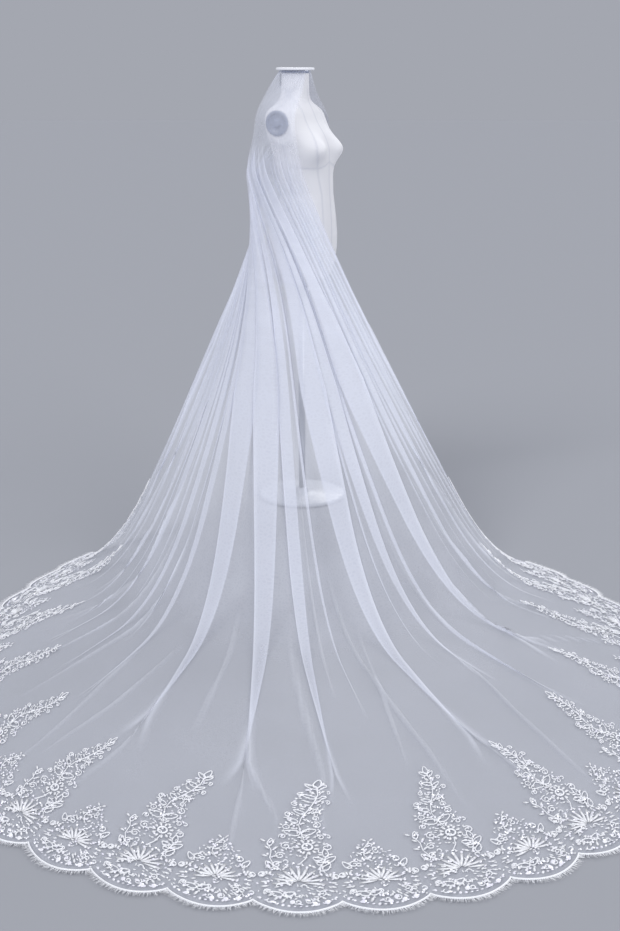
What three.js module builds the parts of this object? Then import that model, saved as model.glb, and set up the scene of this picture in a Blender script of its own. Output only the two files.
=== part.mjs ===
// Cathedral bridal veil on a limbless dress form, in millimetres, +Z up.
// The form stands on a round base at the origin. It faces +X, turned toward -Y. The veil hangs from
// the top of the neck, covers the back and the shoulders, and fans out over the floor toward -Y.
import * as THREE from 'three';

// Form
const TURN = 25;
const NECK_RADIUS = 48;
const NECK_TOP = 1541;
const CAP_TOP = 1550;
const ARM_CUT = 150;
const ARM_PLATE_RADIUS = 42;
const ARM_PLATE_FORWARD = -21;
const ARM_PLATE_HEIGHT = 1376;
const BUST = { height: 1284, apart: 82, tall: 44, wide: 44, proud: 38 };
const FORM_SIDES = 28;

// Stand
const BASE_RADIUS = 160;
const BASE_THICK = 14;
const POLE_RADIUS = 12.5;
const TORSO_BOTTOM = 810;
const COLLAR_HEIGHT = 16;

// Veil
const CLOTH = 1.2;
const LACE = 1.2;
const SEAM_GAP = 0.3;
const HIP = 900;
const ROUNDING_START = 1200;
const ROUNDING_END = 620;
const FLARE = 210;
const STRAND_CURVE = 1.03;
const FLAT_BY = 0.95;
const SCALLOPS = 29;
const SCALLOP_COLUMNS = 4;
const SCALLOP_DEPTH = 36;
const COLUMNS = SCALLOPS * SCALLOP_COLUMNS;
const LACE_PEAK = 470;
const LACE_VALLEY = 230;
const LACE_SHARE = 0.4;
const LACE_LOW_SIDES = 0.14;
const LACE_LOWEST_RISE = 0.2;
const CORD = 5;
const CORD_LIFT = 0.6;
const CORD_CLEAR = 1.5;
const EYELASH = 26;
const EYELASH_ROOT = 4;

// Hem on the floor: a rounded train, wider at the back corners
const TRAIN = { x: 40, y: -1600, across: 980, front: 1010, backLeft: 1440, backRight: 1230 };
const TRAIN_START = -131.5;
const TRAIN_END = 134.8;

const radians = THREE.MathUtils.degToRad;
const mix = THREE.MathUtils.lerp;
const clamp = THREE.MathUtils.clamp;
const FORWARD = new THREE.Vector2(Math.cos(radians(TURN)), -Math.sin(radians(TURN)));
const AWAY = new THREE.Vector2(Math.sin(radians(TURN)), Math.cos(radians(TURN)));

const jersey = new THREE.MeshStandardMaterial({ color: 0xe9e9ec, roughness: 0.85 });
const plastic = new THREE.MeshStandardMaterial({ color: 0xc9cdd4, roughness: 0.4 });
const steel = new THREE.MeshStandardMaterial({ color: 0xb8bcc2, roughness: 0.35, metalness: 1 });
const enamel = new THREE.MeshStandardMaterial({ color: 0xbbbec6, roughness: 0.45 });
const tulle = new THREE.MeshStandardMaterial({ color: 0xdfe4f2, roughness: 0.8 });
const laceThread = new THREE.MeshStandardMaterial({ color: 0xeef0f6, roughness: 0.7 });
const satin = new THREE.MeshStandardMaterial({ color: 0xf0f0f4, roughness: 0.5 });

// A value read from a table at a height or place, straight between its rows
function readTable(table, key, at) {
  const rising = table[1][key] > table[0][key];
  const last = table.length - 1;
  let row = 0;
  while (row < last - 1 && (rising ? at > table[row + 1][key] : at < table[row + 1][key])) row += 1;
  const span = table[row + 1][key] - table[row][key];
  const part = clamp((at - table[row][key]) / span, 0, 1);
  const result = {};
  for (const name of Object.keys(table[0])) result[name] = mix(table[row][name], table[row + 1][name], part);
  return result;
}

// A point given forward of the form's axis, toward its left side, and up
function formPoint(forward, left, up) {
  return new THREE.Vector3(
    FORWARD.x * forward + AWAY.x * left,
    FORWARD.y * forward + AWAY.y * left,
    up,
  );
}

function makeMesh(name, geometry, material) {
  const mesh = new THREE.Mesh(geometry, material);
  mesh.name = name;
  return mesh;
}

function makeGeometry(points, faces) {
  const geometry = new THREE.BufferGeometry();
  const position = new Float32Array(points.flatMap((point) => [point.x, point.y, point.z]));
  geometry.setAttribute('position', new THREE.BufferAttribute(position, 3));
  geometry.setIndex(faces.flat());
  geometry.computeVertexNormals();
  return geometry;
}

// A closed skin over rings of points, from the lowest ring to the highest, with flat ends
function skinRings(rings) {
  const count = rings[0].length;
  const points = rings.flat();
  const faces = [];
  for (let ring = 0; ring < rings.length - 1; ring += 1) {
    for (let side = 0; side < count; side += 1) {
      const next = (side + 1) % count;
      const a = ring * count + side;
      const b = ring * count + next;
      const c = a + count;
      const d = b + count;
      faces.push([a, b, d], [a, d, c]);
    }
  }
  for (const ring of [0, rings.length - 1]) {
    const centre = new THREE.Vector3();
    rings[ring].forEach((point) => centre.addScaledVector(point, 1 / count));
    points.push(centre);
    for (let side = 0; side < count; side += 1) {
      const a = ring * count + side;
      const b = ring * count + ((side + 1) % count);
      faces.push(ring === 0 ? [b, a, points.length - 1] : [a, b, points.length - 1]);
    }
  }
  return makeGeometry(points, faces);
}

// A closed wall between two grids of points of the same size, the second one on the outer side
function closeWall(inner, outer) {
  const rows = inner.length;
  const columns = inner[0].length;
  const points = [...inner.flat(), ...outer.flat()];
  const faces = [];
  const shift = rows * columns;
  const index = (row, column) => row * columns + column;
  const side = (a, b) => faces.push([a, b, b + shift], [a, b + shift, a + shift]);
  for (let row = 0; row < rows - 1; row += 1) {
    for (let column = 0; column < columns - 1; column += 1) {
      const a = index(row, column);
      const b = index(row, column + 1);
      const c = index(row + 1, column);
      const d = index(row + 1, column + 1);
      faces.push([a, b, c], [b, d, c]);
      faces.push([a + shift, c + shift, b + shift], [b + shift, c + shift, d + shift]);
    }
  }
  for (let column = 0; column < columns - 1; column += 1) {
    side(index(0, column + 1), index(0, column));
    side(index(rows - 1, column), index(rows - 1, column + 1));
  }
  for (let row = 0; row < rows - 1; row += 1) {
    side(index(row, 0), index(row + 1, 0));
    side(index(row + 1, columns - 1), index(row, columns - 1));
  }
  return makeGeometry(points, faces);
}

// A turned solid from its outline of radius and height, drawn from the bottom of its axis to the top
function turn(outline, sides) {
  const profile = outline.map(([radius, height]) => new THREE.Vector2(radius, height));
  const geometry = new THREE.LatheGeometry(profile, sides);
  geometry.rotateX(Math.PI / 2);
  return geometry;
}

// Dress form: half width, depth in front, depth behind and place of the centre at each height
const TORSO = [
  { up: TORSO_BOTTOM, half: 62, front: 50, back: 54, centre: 0 },
  { up: 816, half: 98, front: 76, back: 82, centre: 0 },
  { up: 838, half: 134, front: 98, back: 104, centre: 0 },
  { up: 880, half: 158, front: 110, back: 116, centre: 0 },
  { up: 935, half: 168, front: 117, back: 120, centre: 0 },
  { up: 985, half: 164, front: 117, back: 112, centre: 2 },
  { up: 1045, half: 144, front: 107, back: 96, centre: 10 },
  { up: 1130, half: 118, front: 92, back: 80, centre: 18 },
  { up: 1190, half: 124, front: 93, back: 84, centre: 14 },
  { up: 1245, half: 134, front: 99, back: 92, centre: 8 },
  { up: 1290, half: 143, front: 104, back: 97, centre: 2 },
  { up: 1335, half: 164, front: 96, back: 98, centre: -8 },
  { up: 1378, half: 180, front: 76, back: 92, centre: -16 },
  { up: 1412, half: 172, front: 66, back: 82, centre: -20 },
  { up: 1430, half: 128, front: 58, back: 68, centre: -22 },
  { up: 1447, half: 64, front: 51, back: 55, centre: -24 },
  { up: 1475, half: 49, front: 48, back: 49, centre: -24 },
  { up: NECK_TOP - 1, half: NECK_RADIUS, front: NECK_RADIUS, back: NECK_RADIUS, centre: -24 },
];

function makeTorso() {
  const rings = TORSO.map((row) => {
    const ring = [];
    for (let side = 0; side < FORM_SIDES; side += 1) {
      const angle = (side / FORM_SIDES) * Math.PI * 2;
      const depth = Math.cos(angle) > 0 ? row.front : row.back;
      const left = clamp(row.half * Math.sin(angle), -ARM_CUT, ARM_CUT);
      const lift = Math.exp(-(((row.up - BUST.height) / BUST.tall) ** 2));
      const across = Math.exp(-(((Math.abs(left) - BUST.apart) / BUST.wide) ** 2));
      const bust = Math.cos(angle) > 0 ? BUST.proud * lift * across : 0;
      ring.push(formPoint(row.centre + depth * Math.cos(angle) + bust, left, row.up));
    }
    return ring;
  });
  return makeMesh('form_torso', skinRings(rings), jersey);
}

function makeNeckCap() {
  const bottom = NECK_TOP - 1 + SEAM_GAP;
  const cap = turn([[0, bottom], [NECK_RADIUS, bottom], [NECK_RADIUS, CAP_TOP - 2],
    [NECK_RADIUS - 4, CAP_TOP], [0, CAP_TOP]], 32);
  const centre = formPoint(-24, 0, 0);
  cap.translate(centre.x, centre.y, 0);
  return makeMesh('form_neck_cap', cap, plastic);
}

// Arm plates: a round plate with a raised ring and a knob, on the flat cut of each shoulder
function makeArmPlate(name, side) {
  const r = ARM_PLATE_RADIUS;
  const outline = [[0, 0], [r - 2, 0], [r, 2], [r, 5], [r - 3, 7], [r - 9, 7], [r - 11, 4],
    [14, 4], [12, 12], [8, 14], [0, 14]];
  const plate = turn(outline, 24);
  plate.rotateX(Math.PI / 2);
  plate.rotateZ(radians(side > 0 ? 180 - TURN : -TURN));
  const centre = formPoint(ARM_PLATE_FORWARD, side * (ARM_CUT + SEAM_GAP), ARM_PLATE_HEIGHT);
  plate.translate(centre.x, centre.y, centre.z);
  return makeMesh(name, plate, plastic);
}

function makeStand() {
  const base = turn([[0, 0], [BASE_RADIUS - 2, 0], [BASE_RADIUS, 2], [BASE_RADIUS, BASE_THICK - 5],
    [BASE_RADIUS - 5, BASE_THICK], [26, BASE_THICK], [22, BASE_THICK + 18], [0, BASE_THICK + 18]], 48);
  const foot = BASE_THICK + 18 + SEAM_GAP;
  const collarBottom = TORSO_BOTTOM - COLLAR_HEIGHT - SEAM_GAP;
  const poleTop = collarBottom - SEAM_GAP;
  const pole = turn([[0, foot], [POLE_RADIUS, foot], [POLE_RADIUS, poleTop], [0, poleTop]], 24);
  const collar = turn([[0, collarBottom], [24, collarBottom], [40, TORSO_BOTTOM - 4],
    [40, TORSO_BOTTOM - SEAM_GAP], [0, TORSO_BOTTOM - SEAM_GAP]], 32);
  return [
    makeMesh('stand_base', base, enamel),
    makeMesh('stand_pole', pole, steel),
    makeMesh('stand_collar', collar, steel),
  ];
}

// Veil over the form: an oval at each height, in the form's own directions. The cloth runs round it
// from its left edge to its right edge, by degrees from straight ahead over the right shoulder.
const DRAPE = [
  { up: CAP_TOP, centre: -24, side: 50, back: 50, front: 50, right: 20, left: 330 },
  { up: 1500, centre: -24, side: 80, back: 86, front: 60, right: 32, left: 325 },
  { up: 1447, centre: -24, side: 126, back: 116, front: 75, right: 45, left: 318 },
  { up: 1400, centre: -20, side: 180, back: 133, front: 95, right: 52, left: 305 },
  { up: 1345, centre: -15, side: 196, back: 140, front: 118, right: 56, left: 285 },
  { up: 1240, centre: -5, side: 195, back: 162, front: 137, right: 57, left: 255 },
  { up: 1130, centre: 0, side: 189, back: 178, front: 150, right: 50, left: 225 },
  { up: 1020, centre: 0, side: 186, back: 181, front: 165, right: 38, left: 187 },
  { up: HIP, centre: 0, side: 186, back: 186, front: 190, right: 27, left: 162 },
];

// How far from the hip each strand of the cloth meets the floor, and how long its bend there is
const TOUCH = [
  { across: 0, away: 740, bend: 160 },
  { across: 0.1, away: 860, bend: 180 },
  { across: 0.2, away: 1000, bend: 220 },
  { across: 0.35, away: 1120, bend: 280 },
  { across: 0.5, away: 1150, bend: 300 },
  { across: 0.65, away: 1130, bend: 280 },
  { across: 0.8, away: 1020, bend: 220 },
  { across: 0.9, away: 900, bend: 170 },
  { across: 1, away: 720, bend: 130 },
];

function drape(across, up) {
  const row = readTable(DRAPE, 'up', up);
  const angle = radians(mix(row.left, row.right, across));
  const depth = Math.cos(angle) > 0 ? row.front : row.back;
  return formPoint(row.centre + depth * Math.cos(angle), -row.side * Math.sin(angle), up);
}

// The hem, stepped off evenly along its own length
function hemAt(degrees) {
  const angle = radians(degrees);
  const back = Math.sin(angle) < 0 ? TRAIN.backLeft : TRAIN.backRight;
  const reach = Math.cos(angle) > 0 ? TRAIN.front : back;
  return new THREE.Vector2(TRAIN.x + TRAIN.across * Math.sin(angle), TRAIN.y - reach * Math.cos(angle));
}

const HEM_STEPS = 720;
const hemPoints = [];
const hemLengths = [0];
for (let step = 0; step <= HEM_STEPS; step += 1) {
  hemPoints.push(hemAt(mix(TRAIN_START, TRAIN_END, step / HEM_STEPS)));
  if (step > 0) hemLengths.push(hemLengths[step - 1] + hemPoints[step].distanceTo(hemPoints[step - 1]));
}

function hem(across) {
  const wanted = across * hemLengths[HEM_STEPS];
  let step = 1;
  while (step < HEM_STEPS && hemLengths[step] < wanted) step += 1;
  const part = (wanted - hemLengths[step - 1]) / (hemLengths[step] - hemLengths[step - 1]);
  return hemPoints[step - 1].clone().lerp(hemPoints[step], part);
}

// One strand of the cloth from the hip to the hem, curved outward over the floor
function makeStrand(across) {
  const hip = drape(across, HIP);
  const end = hem(across);
  const run = new THREE.Vector2(end.x - hip.x, end.y - hip.y);
  const length = run.length();
  const flare = (FLARE * Math.sin(2 * Math.PI * across)) / length;
  const middle = new THREE.Vector2(
    (hip.x + end.x) / 2 - run.y * flare,
    (hip.y + end.y) / 2 + run.x * flare,
  );
  const onFloor = length * STRAND_CURVE;
  const row = readTable(TOUCH, 'across', across);
  const fit = Math.min(1, (onFloor * FLAT_BY) / (row.away + row.bend));
  const touch = { away: row.away * fit, bend: row.bend * fit };
  const start = (touch.away * (1 - ROUNDING_END / HIP)) / onFloor;
  return { hip, end, middle, touch, length: onFloor, start };
}

function onStrand(strand, along) {
  const { hip, middle, end, touch } = strand;
  const a = (1 - along) ** 2;
  const b = 2 * along * (1 - along);
  const c = along ** 2;
  const run = along * strand.length;
  const before = touch.away - touch.bend;
  const after = touch.away + touch.bend;
  let up = 0;
  if (run < before) up = HIP * (1 - run / touch.away);
  else if (run < after) up = (HIP / (4 * touch.bend * touch.away)) * (after - run) ** 2;
  return new THREE.Vector3(
    a * hip.x + b * middle.x + c * end.x,
    a * hip.y + b * middle.y + c * end.y,
    up,
  );
}

// The cloth without its folds: down 0 to 1 is on the form, 1 to 2 rounds off the hip, 2 to 3 is the train
function clothPoint(across, down) {
  if (down <= 1) return drape(across, mix(CAP_TOP, ROUNDING_START, down));
  const strand = makeStrand(across);
  if (down > 2) return onStrand(strand, mix(strand.start, 1, down - 2));
  const part = down - 1;
  const from = drape(across, ROUNDING_START).multiplyScalar((1 - part) ** 2);
  const over = strand.hip.clone().multiplyScalar(2 * part * (1 - part));
  return from.add(over).add(onStrand(strand, strand.start).multiplyScalar(part ** 2));
}

function clothNormal(across, down) {
  const step = 0.004;
  const left = clothPoint(Math.max(across - step, 0), down);
  const right = clothPoint(Math.min(across + step, 1), down);
  const above = clothPoint(across, Math.max(down - step * 3, 0));
  const below = clothPoint(across, down + step * 3);
  return below.sub(above).cross(right.sub(left)).normalize();
}

// Folds, from the left edge to the right one: place across the cloth, width of the step in the cloth,
// depth, and the side that it opens to
const FOLDS = [
  { across: 0.03, step: 12, depth: 8, side: 1 },
  { across: 0.078, step: 14, depth: 12, side: 1 },
  { across: 0.125, step: 18, depth: 14, side: 1 },
  { across: 0.172, step: 18, depth: 14, side: 1 },
  { across: 0.225, step: 18, depth: 14, side: 1 },
  { across: 0.288, step: 22, depth: 17, side: 1 },
  { across: 0.332, step: 14, depth: 12, side: 1 },
  { across: 0.375, step: 30, depth: 18, side: 1 },
  { across: 0.418, step: 14, depth: 12, side: 1 },
  { across: 0.46, step: 30, depth: 18, side: 1 },
  { across: 0.5, step: 14, depth: 13, side: 1 },
  { across: 0.54, step: 28, depth: 17, side: 1 },
  { across: 0.588, step: 14, depth: 12, side: -1 },
  { across: 0.632, step: 30, depth: 18, side: -1 },
  { across: 0.69, step: 19, depth: 15, side: -1 },
  { across: 0.73, step: 14, depth: 11, side: -1 },
  { across: 0.772, step: 28, depth: 17, side: -1 },
  { across: 0.812, step: 14, depth: 12, side: -1 },
  { across: 0.85, step: 19, depth: 15, side: -1 },
  { across: 0.906, step: 14, depth: 12, side: -1 },
  { across: 0.955, step: 12, depth: 8, side: -1 },
];
const FOLD_COLUMNS = 4;
const FOLD_SHARE = 0.7;
const FOLDS_START = 0.29;
const FOLDS_FORMED = 1;
const FOLDS_OPEN_FROM = 0.62;
const FOLD_FULL_WIDTH = 900;
const FLOOR_DEPTH = 10;

function smooth(part) {
  const t = clamp(part, 0, 1);
  return t * t * (3 - 2 * t);
}

function widthAt(down) {
  let width = 0;
  let before = clothPoint(0, down);
  for (let step = 1; step <= 24; step += 1) {
    const point = clothPoint(step / 24, down);
    width += point.distanceTo(before);
    before = point;
  }
  return width;
}

// Where each column of the cloth lies in one row: across the cloth, and proud of its inner layer
function foldRow(downAt, width) {
  const places = [{ column: 0, across: 0, proud: 0 }];
  for (const fold of FOLDS) {
    const middle = Math.round(fold.across * COLUMNS);
    const first = middle - FOLD_COLUMNS / 2;
    const down = downAt(fold.across, middle);
    const forming = (down - FOLDS_START) / (FOLDS_FORMED - FOLDS_START);
    const train = (down - 2) / (overLace(fold.across) - 2);
    const opening = (1 - train) / (1 - FOLDS_OPEN_FROM);
    const closed = smooth(Math.min(forming, opening));
    const half = Math.min(fold.step / width, (FOLD_SHARE * FOLD_COLUMNS) / COLUMNS) / 2;
    const lift = smooth((clothPoint(fold.across, down).z - 20) / 200);
    const full = closed * Math.min(1, width / FOLD_FULL_WIDTH);
    const depth = full * mix(Math.min(fold.depth, FLOOR_DEPTH), fold.depth, lift);
    for (let step = 0; step <= FOLD_COLUMNS; step += 1) {
      const part = step / FOLD_COLUMNS;
      const opened = (first + step) / COLUMNS + (fold.across - middle / COLUMNS) * closed;
      const turned = fold.across + half * (2 * part - 1);
      const rise = smooth(fold.side > 0 ? part : 1 - part);
      places.push({ column: first + step, across: mix(opened, turned, closed), proud: depth * rise });
    }
  }
  places.push({ column: COLUMNS, across: 1, proud: 0 });
  const row = [];
  for (let column = 0; column <= COLUMNS; column += 1) row.push(readTable(places, 'column', column));
  return row;
}

function scallop(column) {
  return SCALLOP_DEPTH * Math.sin((Math.PI * (column % SCALLOP_COLUMNS)) / SCALLOP_COLUMNS) ** 0.8;
}

// The lace's inner edge rises to a peak over every other scallop, a low one on the short strands at the sides
function laceTop(across, column) {
  const rise = Math.sin((Math.PI * (column + SCALLOP_COLUMNS / 2)) / (2 * SCALLOP_COLUMNS)) ** 2;
  const low = clamp(Math.min(across, 1 - across) / LACE_LOW_SIDES, LACE_LOWEST_RISE, 1);
  return mix(LACE_VALLEY, LACE_PEAK, rise * low) * laceShare(across);
}

function laceShare(across) {
  return Math.min(1, (makeStrand(across).length * LACE_SHARE) / LACE_PEAK);
}

function downFromHem(across, distance) {
  const strand = makeStrand(across);
  return 3 - distance / ((1 - strand.start) * strand.length);
}

function overLace(across) {
  return downFromHem(across, LACE_PEAK * laceShare(across));
}

const UPPER_ROWS = [0, 0.14, FOLDS_START, 0.43, 0.59, 0.8, FOLDS_FORMED, 1.3, 1.65, 2];
const TRAIN_ROWS = [0.18, 0.34, 0.48, FOLDS_OPEN_FROM, (1 + FOLDS_OPEN_FROM) / 2];
const LACE_ROWS = [1, 0.55, 0.25, 0];
// Stretches of the one cloth, each down to a row that the next one starts from, a little lower
const STRETCH_GAP = 0.8;
const STRETCHES = [
  { name: 'veil_over_shoulders', last: UPPER_ROWS.indexOf(FOLDS_FORMED) },
  { name: 'veil_fall', last: UPPER_ROWS.length + 1 },
  { name: 'veil_train', last: UPPER_ROWS.length + TRAIN_ROWS.length - 1 },
  { name: 'veil_hem', last: UPPER_ROWS.length + TRAIN_ROWS.length + LACE_ROWS.length - 1 },
];

// Rows of the folded cloth: on the form, over the train down to the lace, then through the lace
function clothRows() {
  const inLace = (part) => (across, column) => {
    return downFromHem(across, mix(-scallop(column), laceTop(across, column), part));
  };
  const rows = [
    ...UPPER_ROWS.map((down) => () => down),
    ...TRAIN_ROWS.map((part) => (across) => mix(2, overLace(across), part)),
    ...LACE_ROWS.map(inLace),
  ];
  return rows.map((downAt) => {
    const places = foldRow(downAt, widthAt(downAt(0.5, COLUMNS / 2)));
    return places.map((place, column) => {
      const across = clamp(place.across, 0, 1);
      const down = downAt(across, column);
      const normal = clothNormal(across, down);
      return { point: clothPoint(across, down).addScaledVector(normal, place.proud), normal };
    });
  });
}

// Normals of the folded rows: square to the column, and halfway between the two sides that meet along the row
function gridNormals(grid) {
  return grid.map((row, r) => row.map((point, c) => {
    const above = grid[Math.max(r - 1, 0)][c];
    const below = grid[Math.min(r + 1, grid.length - 1)][c];
    const across = new THREE.Vector3();
    if (c > 0) across.add(point.clone().sub(row[c - 1]).normalize());
    if (c < row.length - 1) across.add(row[c + 1].clone().sub(point).normalize());
    return below.clone().sub(above).cross(across).normalize();
  }));
}

// The grid moved out along its normals, and kept under the binding at the gathered top
function offset(grid, normals, distance) {
  return grid.map((row, r) => row.map((point, c) => {
    const moved = point.clone().addScaledVector(normals[r][c], distance);
    return moved.setZ(Math.min(moved.z, CAP_TOP));
  }));
}

function movedToward(point, other, distance) {
  return point.clone().addScaledVector(other.clone().sub(point).normalize(), distance);
}

function makeVeil() {
  const cloth = clothRows();
  const first = cloth.length - LACE_ROWS.length;
  const grid = cloth.map((row) => row.map((place) => place.point));
  const flatNormals = cloth.map((row) => row.map((place) => place.normal));
  const normals = [...gridNormals(grid).slice(0, first), ...flatNormals.slice(first)];
  const lengths = [];
  let start = 0;
  for (const { name, last } of STRETCHES) {
    const rows = grid.slice(start, last + 1);
    const square = normals.slice(start, last + 1);
    if (start > 0) rows[0] = rows[0].map((point, c) => movedToward(point, rows[1][c], STRETCH_GAP));
    const wall = closeWall(offset(rows, square, 0), offset(rows, square, CLOTH));
    lengths.push(makeMesh(name, wall, tulle));
    start = last;
  }
  const laceGrid = grid.slice(first);
  const laceNormals = normals.slice(first);
  const under = offset(laceGrid, laceNormals, CLOTH + SEAM_GAP);
  const over = offset(laceGrid, laceNormals, CLOTH + SEAM_GAP + LACE);
  const border = closeWall(under, over);
  return [
    ...lengths,
    makeMesh('lace_border', border, laceThread),
    makeHemCord(grid[grid.length - 1], grid[grid.length - 2]),
  ];
}

// Cord sewn along the scallops, with an eyelash strand drawn out of it at each column
function makeHemCord(edge, inside) {
  const places = [];
  for (let column = 0; column < edge.length; column += 1) {
    const before = edge[Math.max(column - 1, 0)];
    const after = edge[Math.min(column + 1, edge.length - 1)];
    const out = new THREE.Vector3().subVectors(edge[column], inside[column]).setZ(0).normalize();
    const along = new THREE.Vector3().subVectors(after, before).setZ(0).normalize();
    const square = new THREE.Vector3(-along.y, along.x, 0);
    if (square.dot(out) < 0) square.negate();
    for (const neighbour of [before, after]) {
      if (neighbour === edge[column]) continue;
      const shift = new THREE.Vector3().subVectors(neighbour, edge[column]).setLength(EYELASH_ROOT / 2);
      const root = neighbour === before && column < edge.length - 1;
      places.push({ point: shift.add(edge[column]), square, root });
    }
  }
  const points = [];
  const faces = [];
  for (const { point, square } of places) {
    for (const [away, lift] of [[0, 0], [CORD, 0], [CORD, CORD], [0, CORD]]) {
      const corner = point.clone().addScaledVector(square, away + CORD_CLEAR);
      points.push(corner.setZ(point.z + CORD_LIFT + lift));
    }
  }
  const count = places.length;
  for (let place = 0; place < count - 1; place += 1) {
    const a = place * 4;
    for (let corner = 0; corner < 4; corner += 1) {
      const next = (corner + 1) % 4;
      const drawn = corner === 1 && places[place].root;
      if (!drawn) faces.push([a + corner, a + next + 4, a + next], [a + corner, a + corner + 4, a + next + 4]);
    }
    if (places[place].root) {
      const tip = new THREE.Vector3();
      for (const corner of [1, 2, 5, 6]) tip.addScaledVector(points[a + corner], 0.25);
      tip.addScaledVector(places[place].square, EYELASH);
      points.push(tip);
      const t = points.length - 1;
      faces.push([a + 2, a + 1, t], [a + 6, a + 2, t], [a + 5, a + 6, t], [a + 1, a + 5, t]);
    }
  }
  const end = (count - 1) * 4;
  faces.push([0, 2, 3], [0, 1, 2], [end, end + 2, end + 1], [end, end + 3, end + 2]);
  return makeMesh('hem_cord_eyelash', makeGeometry(points, faces), laceThread);
}

// Binding over the gathered top edge, an arc that rests on the rim of the neck cap
function makeBinding() {
  const bottom = CAP_TOP + SEAM_GAP;
  const section = [[38, 0], [66, 0], [67, 4], [64, 9], [40, 9], [37, 4]];
  const rings = [];
  const steps = 36;
  for (let step = 0; step <= steps; step += 1) {
    const angle = radians(mix(14, 336, step / steps));
    rings.push(section.map(([radius, up]) => formPoint(
      -24 + radius * Math.cos(angle),
      -radius * Math.sin(angle),
      bottom + up,
    )));
  }
  return makeMesh('gather_binding', skinRings(rings), satin);
}

// Hair comb under the gathers: flat against the back of the neck, with its teeth pointing down
function makeComb() {
  const teeth = 10;
  const pitch = 4.4;
  const spineTop = 1538;
  const spine = 7;
  const toothLength = 34;
  const thick = 1.6;
  const half = (teeth * pitch) / 2;
  const shape = new THREE.Shape();
  shape.moveTo(-half, 0);
  for (let tooth = 0; tooth < teeth; tooth += 1) {
    const x = -half + tooth * pitch;
    shape.lineTo(x + pitch * 0.3, 0);
    shape.lineTo(x + pitch * 0.42, -toothLength);
    shape.lineTo(x + pitch * 0.58, -toothLength);
    shape.lineTo(x + pitch * 0.7, 0);
  }
  shape.lineTo(half, 0);
  shape.lineTo(half, spine);
  shape.lineTo(-half, spine);
  const comb = new THREE.ExtrudeGeometry(shape, { depth: thick, bevelEnabled: false });
  comb.rotateX(Math.PI / 2);
  comb.rotateZ(-Math.PI / 2 - radians(TURN));
  const place = formPoint(-24 - NECK_RADIUS - 1, 0, spineTop - spine);
  comb.translate(place.x, place.y, place.z);
  return makeMesh('comb', comb, steel);
}

const veil = new THREE.Group();
veil.add(makeTorso());
veil.add(makeNeckCap());
veil.add(makeArmPlate('form_arm_plate_right', -1));
veil.add(makeArmPlate('form_arm_plate_left', 1));
makeStand().forEach((mesh) => veil.add(mesh));
makeVeil().forEach((mesh) => veil.add(mesh));
veil.add(makeBinding());
veil.add(makeComb());

export default veil;
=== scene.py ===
import math

import bmesh
import bpy
import numpy as np
from mathutils import Matrix, Vector


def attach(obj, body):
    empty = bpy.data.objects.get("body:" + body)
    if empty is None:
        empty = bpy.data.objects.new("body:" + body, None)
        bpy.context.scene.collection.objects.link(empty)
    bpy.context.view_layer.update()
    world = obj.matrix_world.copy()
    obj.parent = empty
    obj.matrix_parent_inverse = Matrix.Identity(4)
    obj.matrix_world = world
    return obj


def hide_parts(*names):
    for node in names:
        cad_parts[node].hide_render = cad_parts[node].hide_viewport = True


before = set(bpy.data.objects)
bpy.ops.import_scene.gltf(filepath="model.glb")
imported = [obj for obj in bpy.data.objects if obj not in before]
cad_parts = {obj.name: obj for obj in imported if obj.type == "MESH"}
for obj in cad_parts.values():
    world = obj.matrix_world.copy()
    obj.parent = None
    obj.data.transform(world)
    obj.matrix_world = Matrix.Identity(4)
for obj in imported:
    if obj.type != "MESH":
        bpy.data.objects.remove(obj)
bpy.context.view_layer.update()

# Camera
# It stands in front of the train, as high as the neck of the form, and looks down on the cloth. The focal
# length fits a frame 620 wide and 931 high.
LOOK_DOWN = 16.4
camera_data = bpy.data.cameras.new("camera")
camera_data.lens = 51.93
camera_data.sensor_width = 36
camera = bpy.data.objects.new("camera", camera_data)
camera.location = (0.03, -4.87, 1.55)
camera.rotation_euler = (math.radians(90 - LOOK_DOWN), 0, 0)
bpy.context.scene.collection.objects.link(camera)
bpy.context.scene.camera = camera


# Studio
# A plain pale floor and air of the same brightness, a broad soft light from the front left, a weaker one from
# the right, and one from behind.
def linear_colour(hex_colour):
    """Linear RGBA of an sRGB colour written as #rrggbb."""
    channels = [int(hex_colour[at:at + 2], 16) / 255 for at in (1, 3, 5)]
    return (*[c / 12.92 if c <= 0.04045 else ((c + 0.055) / 1.055) ** 2.4 for c in channels], 1.0)


def set_inputs(tree, node, inputs):
    """Sets a node's inputs to values, or links them to the sockets that feed them."""
    for name, value in inputs.items():
        if isinstance(value, bpy.types.NodeSocket):
            tree.links.new(value, node.inputs[name])
        else:
            node.inputs[name].default_value = value


def add_node(tree, kind, inputs=None, **settings):
    """Adds one node with its settings, its values and its links."""
    node = tree.nodes.new(kind)
    for name, value in settings.items():
        setattr(node, name, value)
    set_inputs(tree, node, inputs or {})
    return node


def start_material(name):
    """A new material, its node tree and its Principled shader."""
    material = bpy.data.materials.new(name)
    material.use_nodes = True
    tree = material.node_tree
    return material, tree, tree.nodes["Principled BSDF"]


def mesh_object(name, bm, material):
    """Turns a bmesh into a smooth object at the origin."""
    mesh = bpy.data.meshes.new(name)
    for face in bm.faces:
        face.smooth = True
    bm.to_mesh(mesh)
    bm.free()
    mesh.materials.append(material)
    piece = bpy.data.objects.new(name, mesh)
    bpy.context.scene.collection.objects.link(piece)
    return piece


def painted_floor():
    """Matt studio paint: pale, even and a little cool."""
    material, tree, shader = start_material("matt studio paint")
    set_inputs(tree, shader, {
        "Base Color": linear_colour("#A2A4AA"),
        "Roughness": 1.0,
        "Specular IOR Level": 0.0,
    })
    return material


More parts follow.
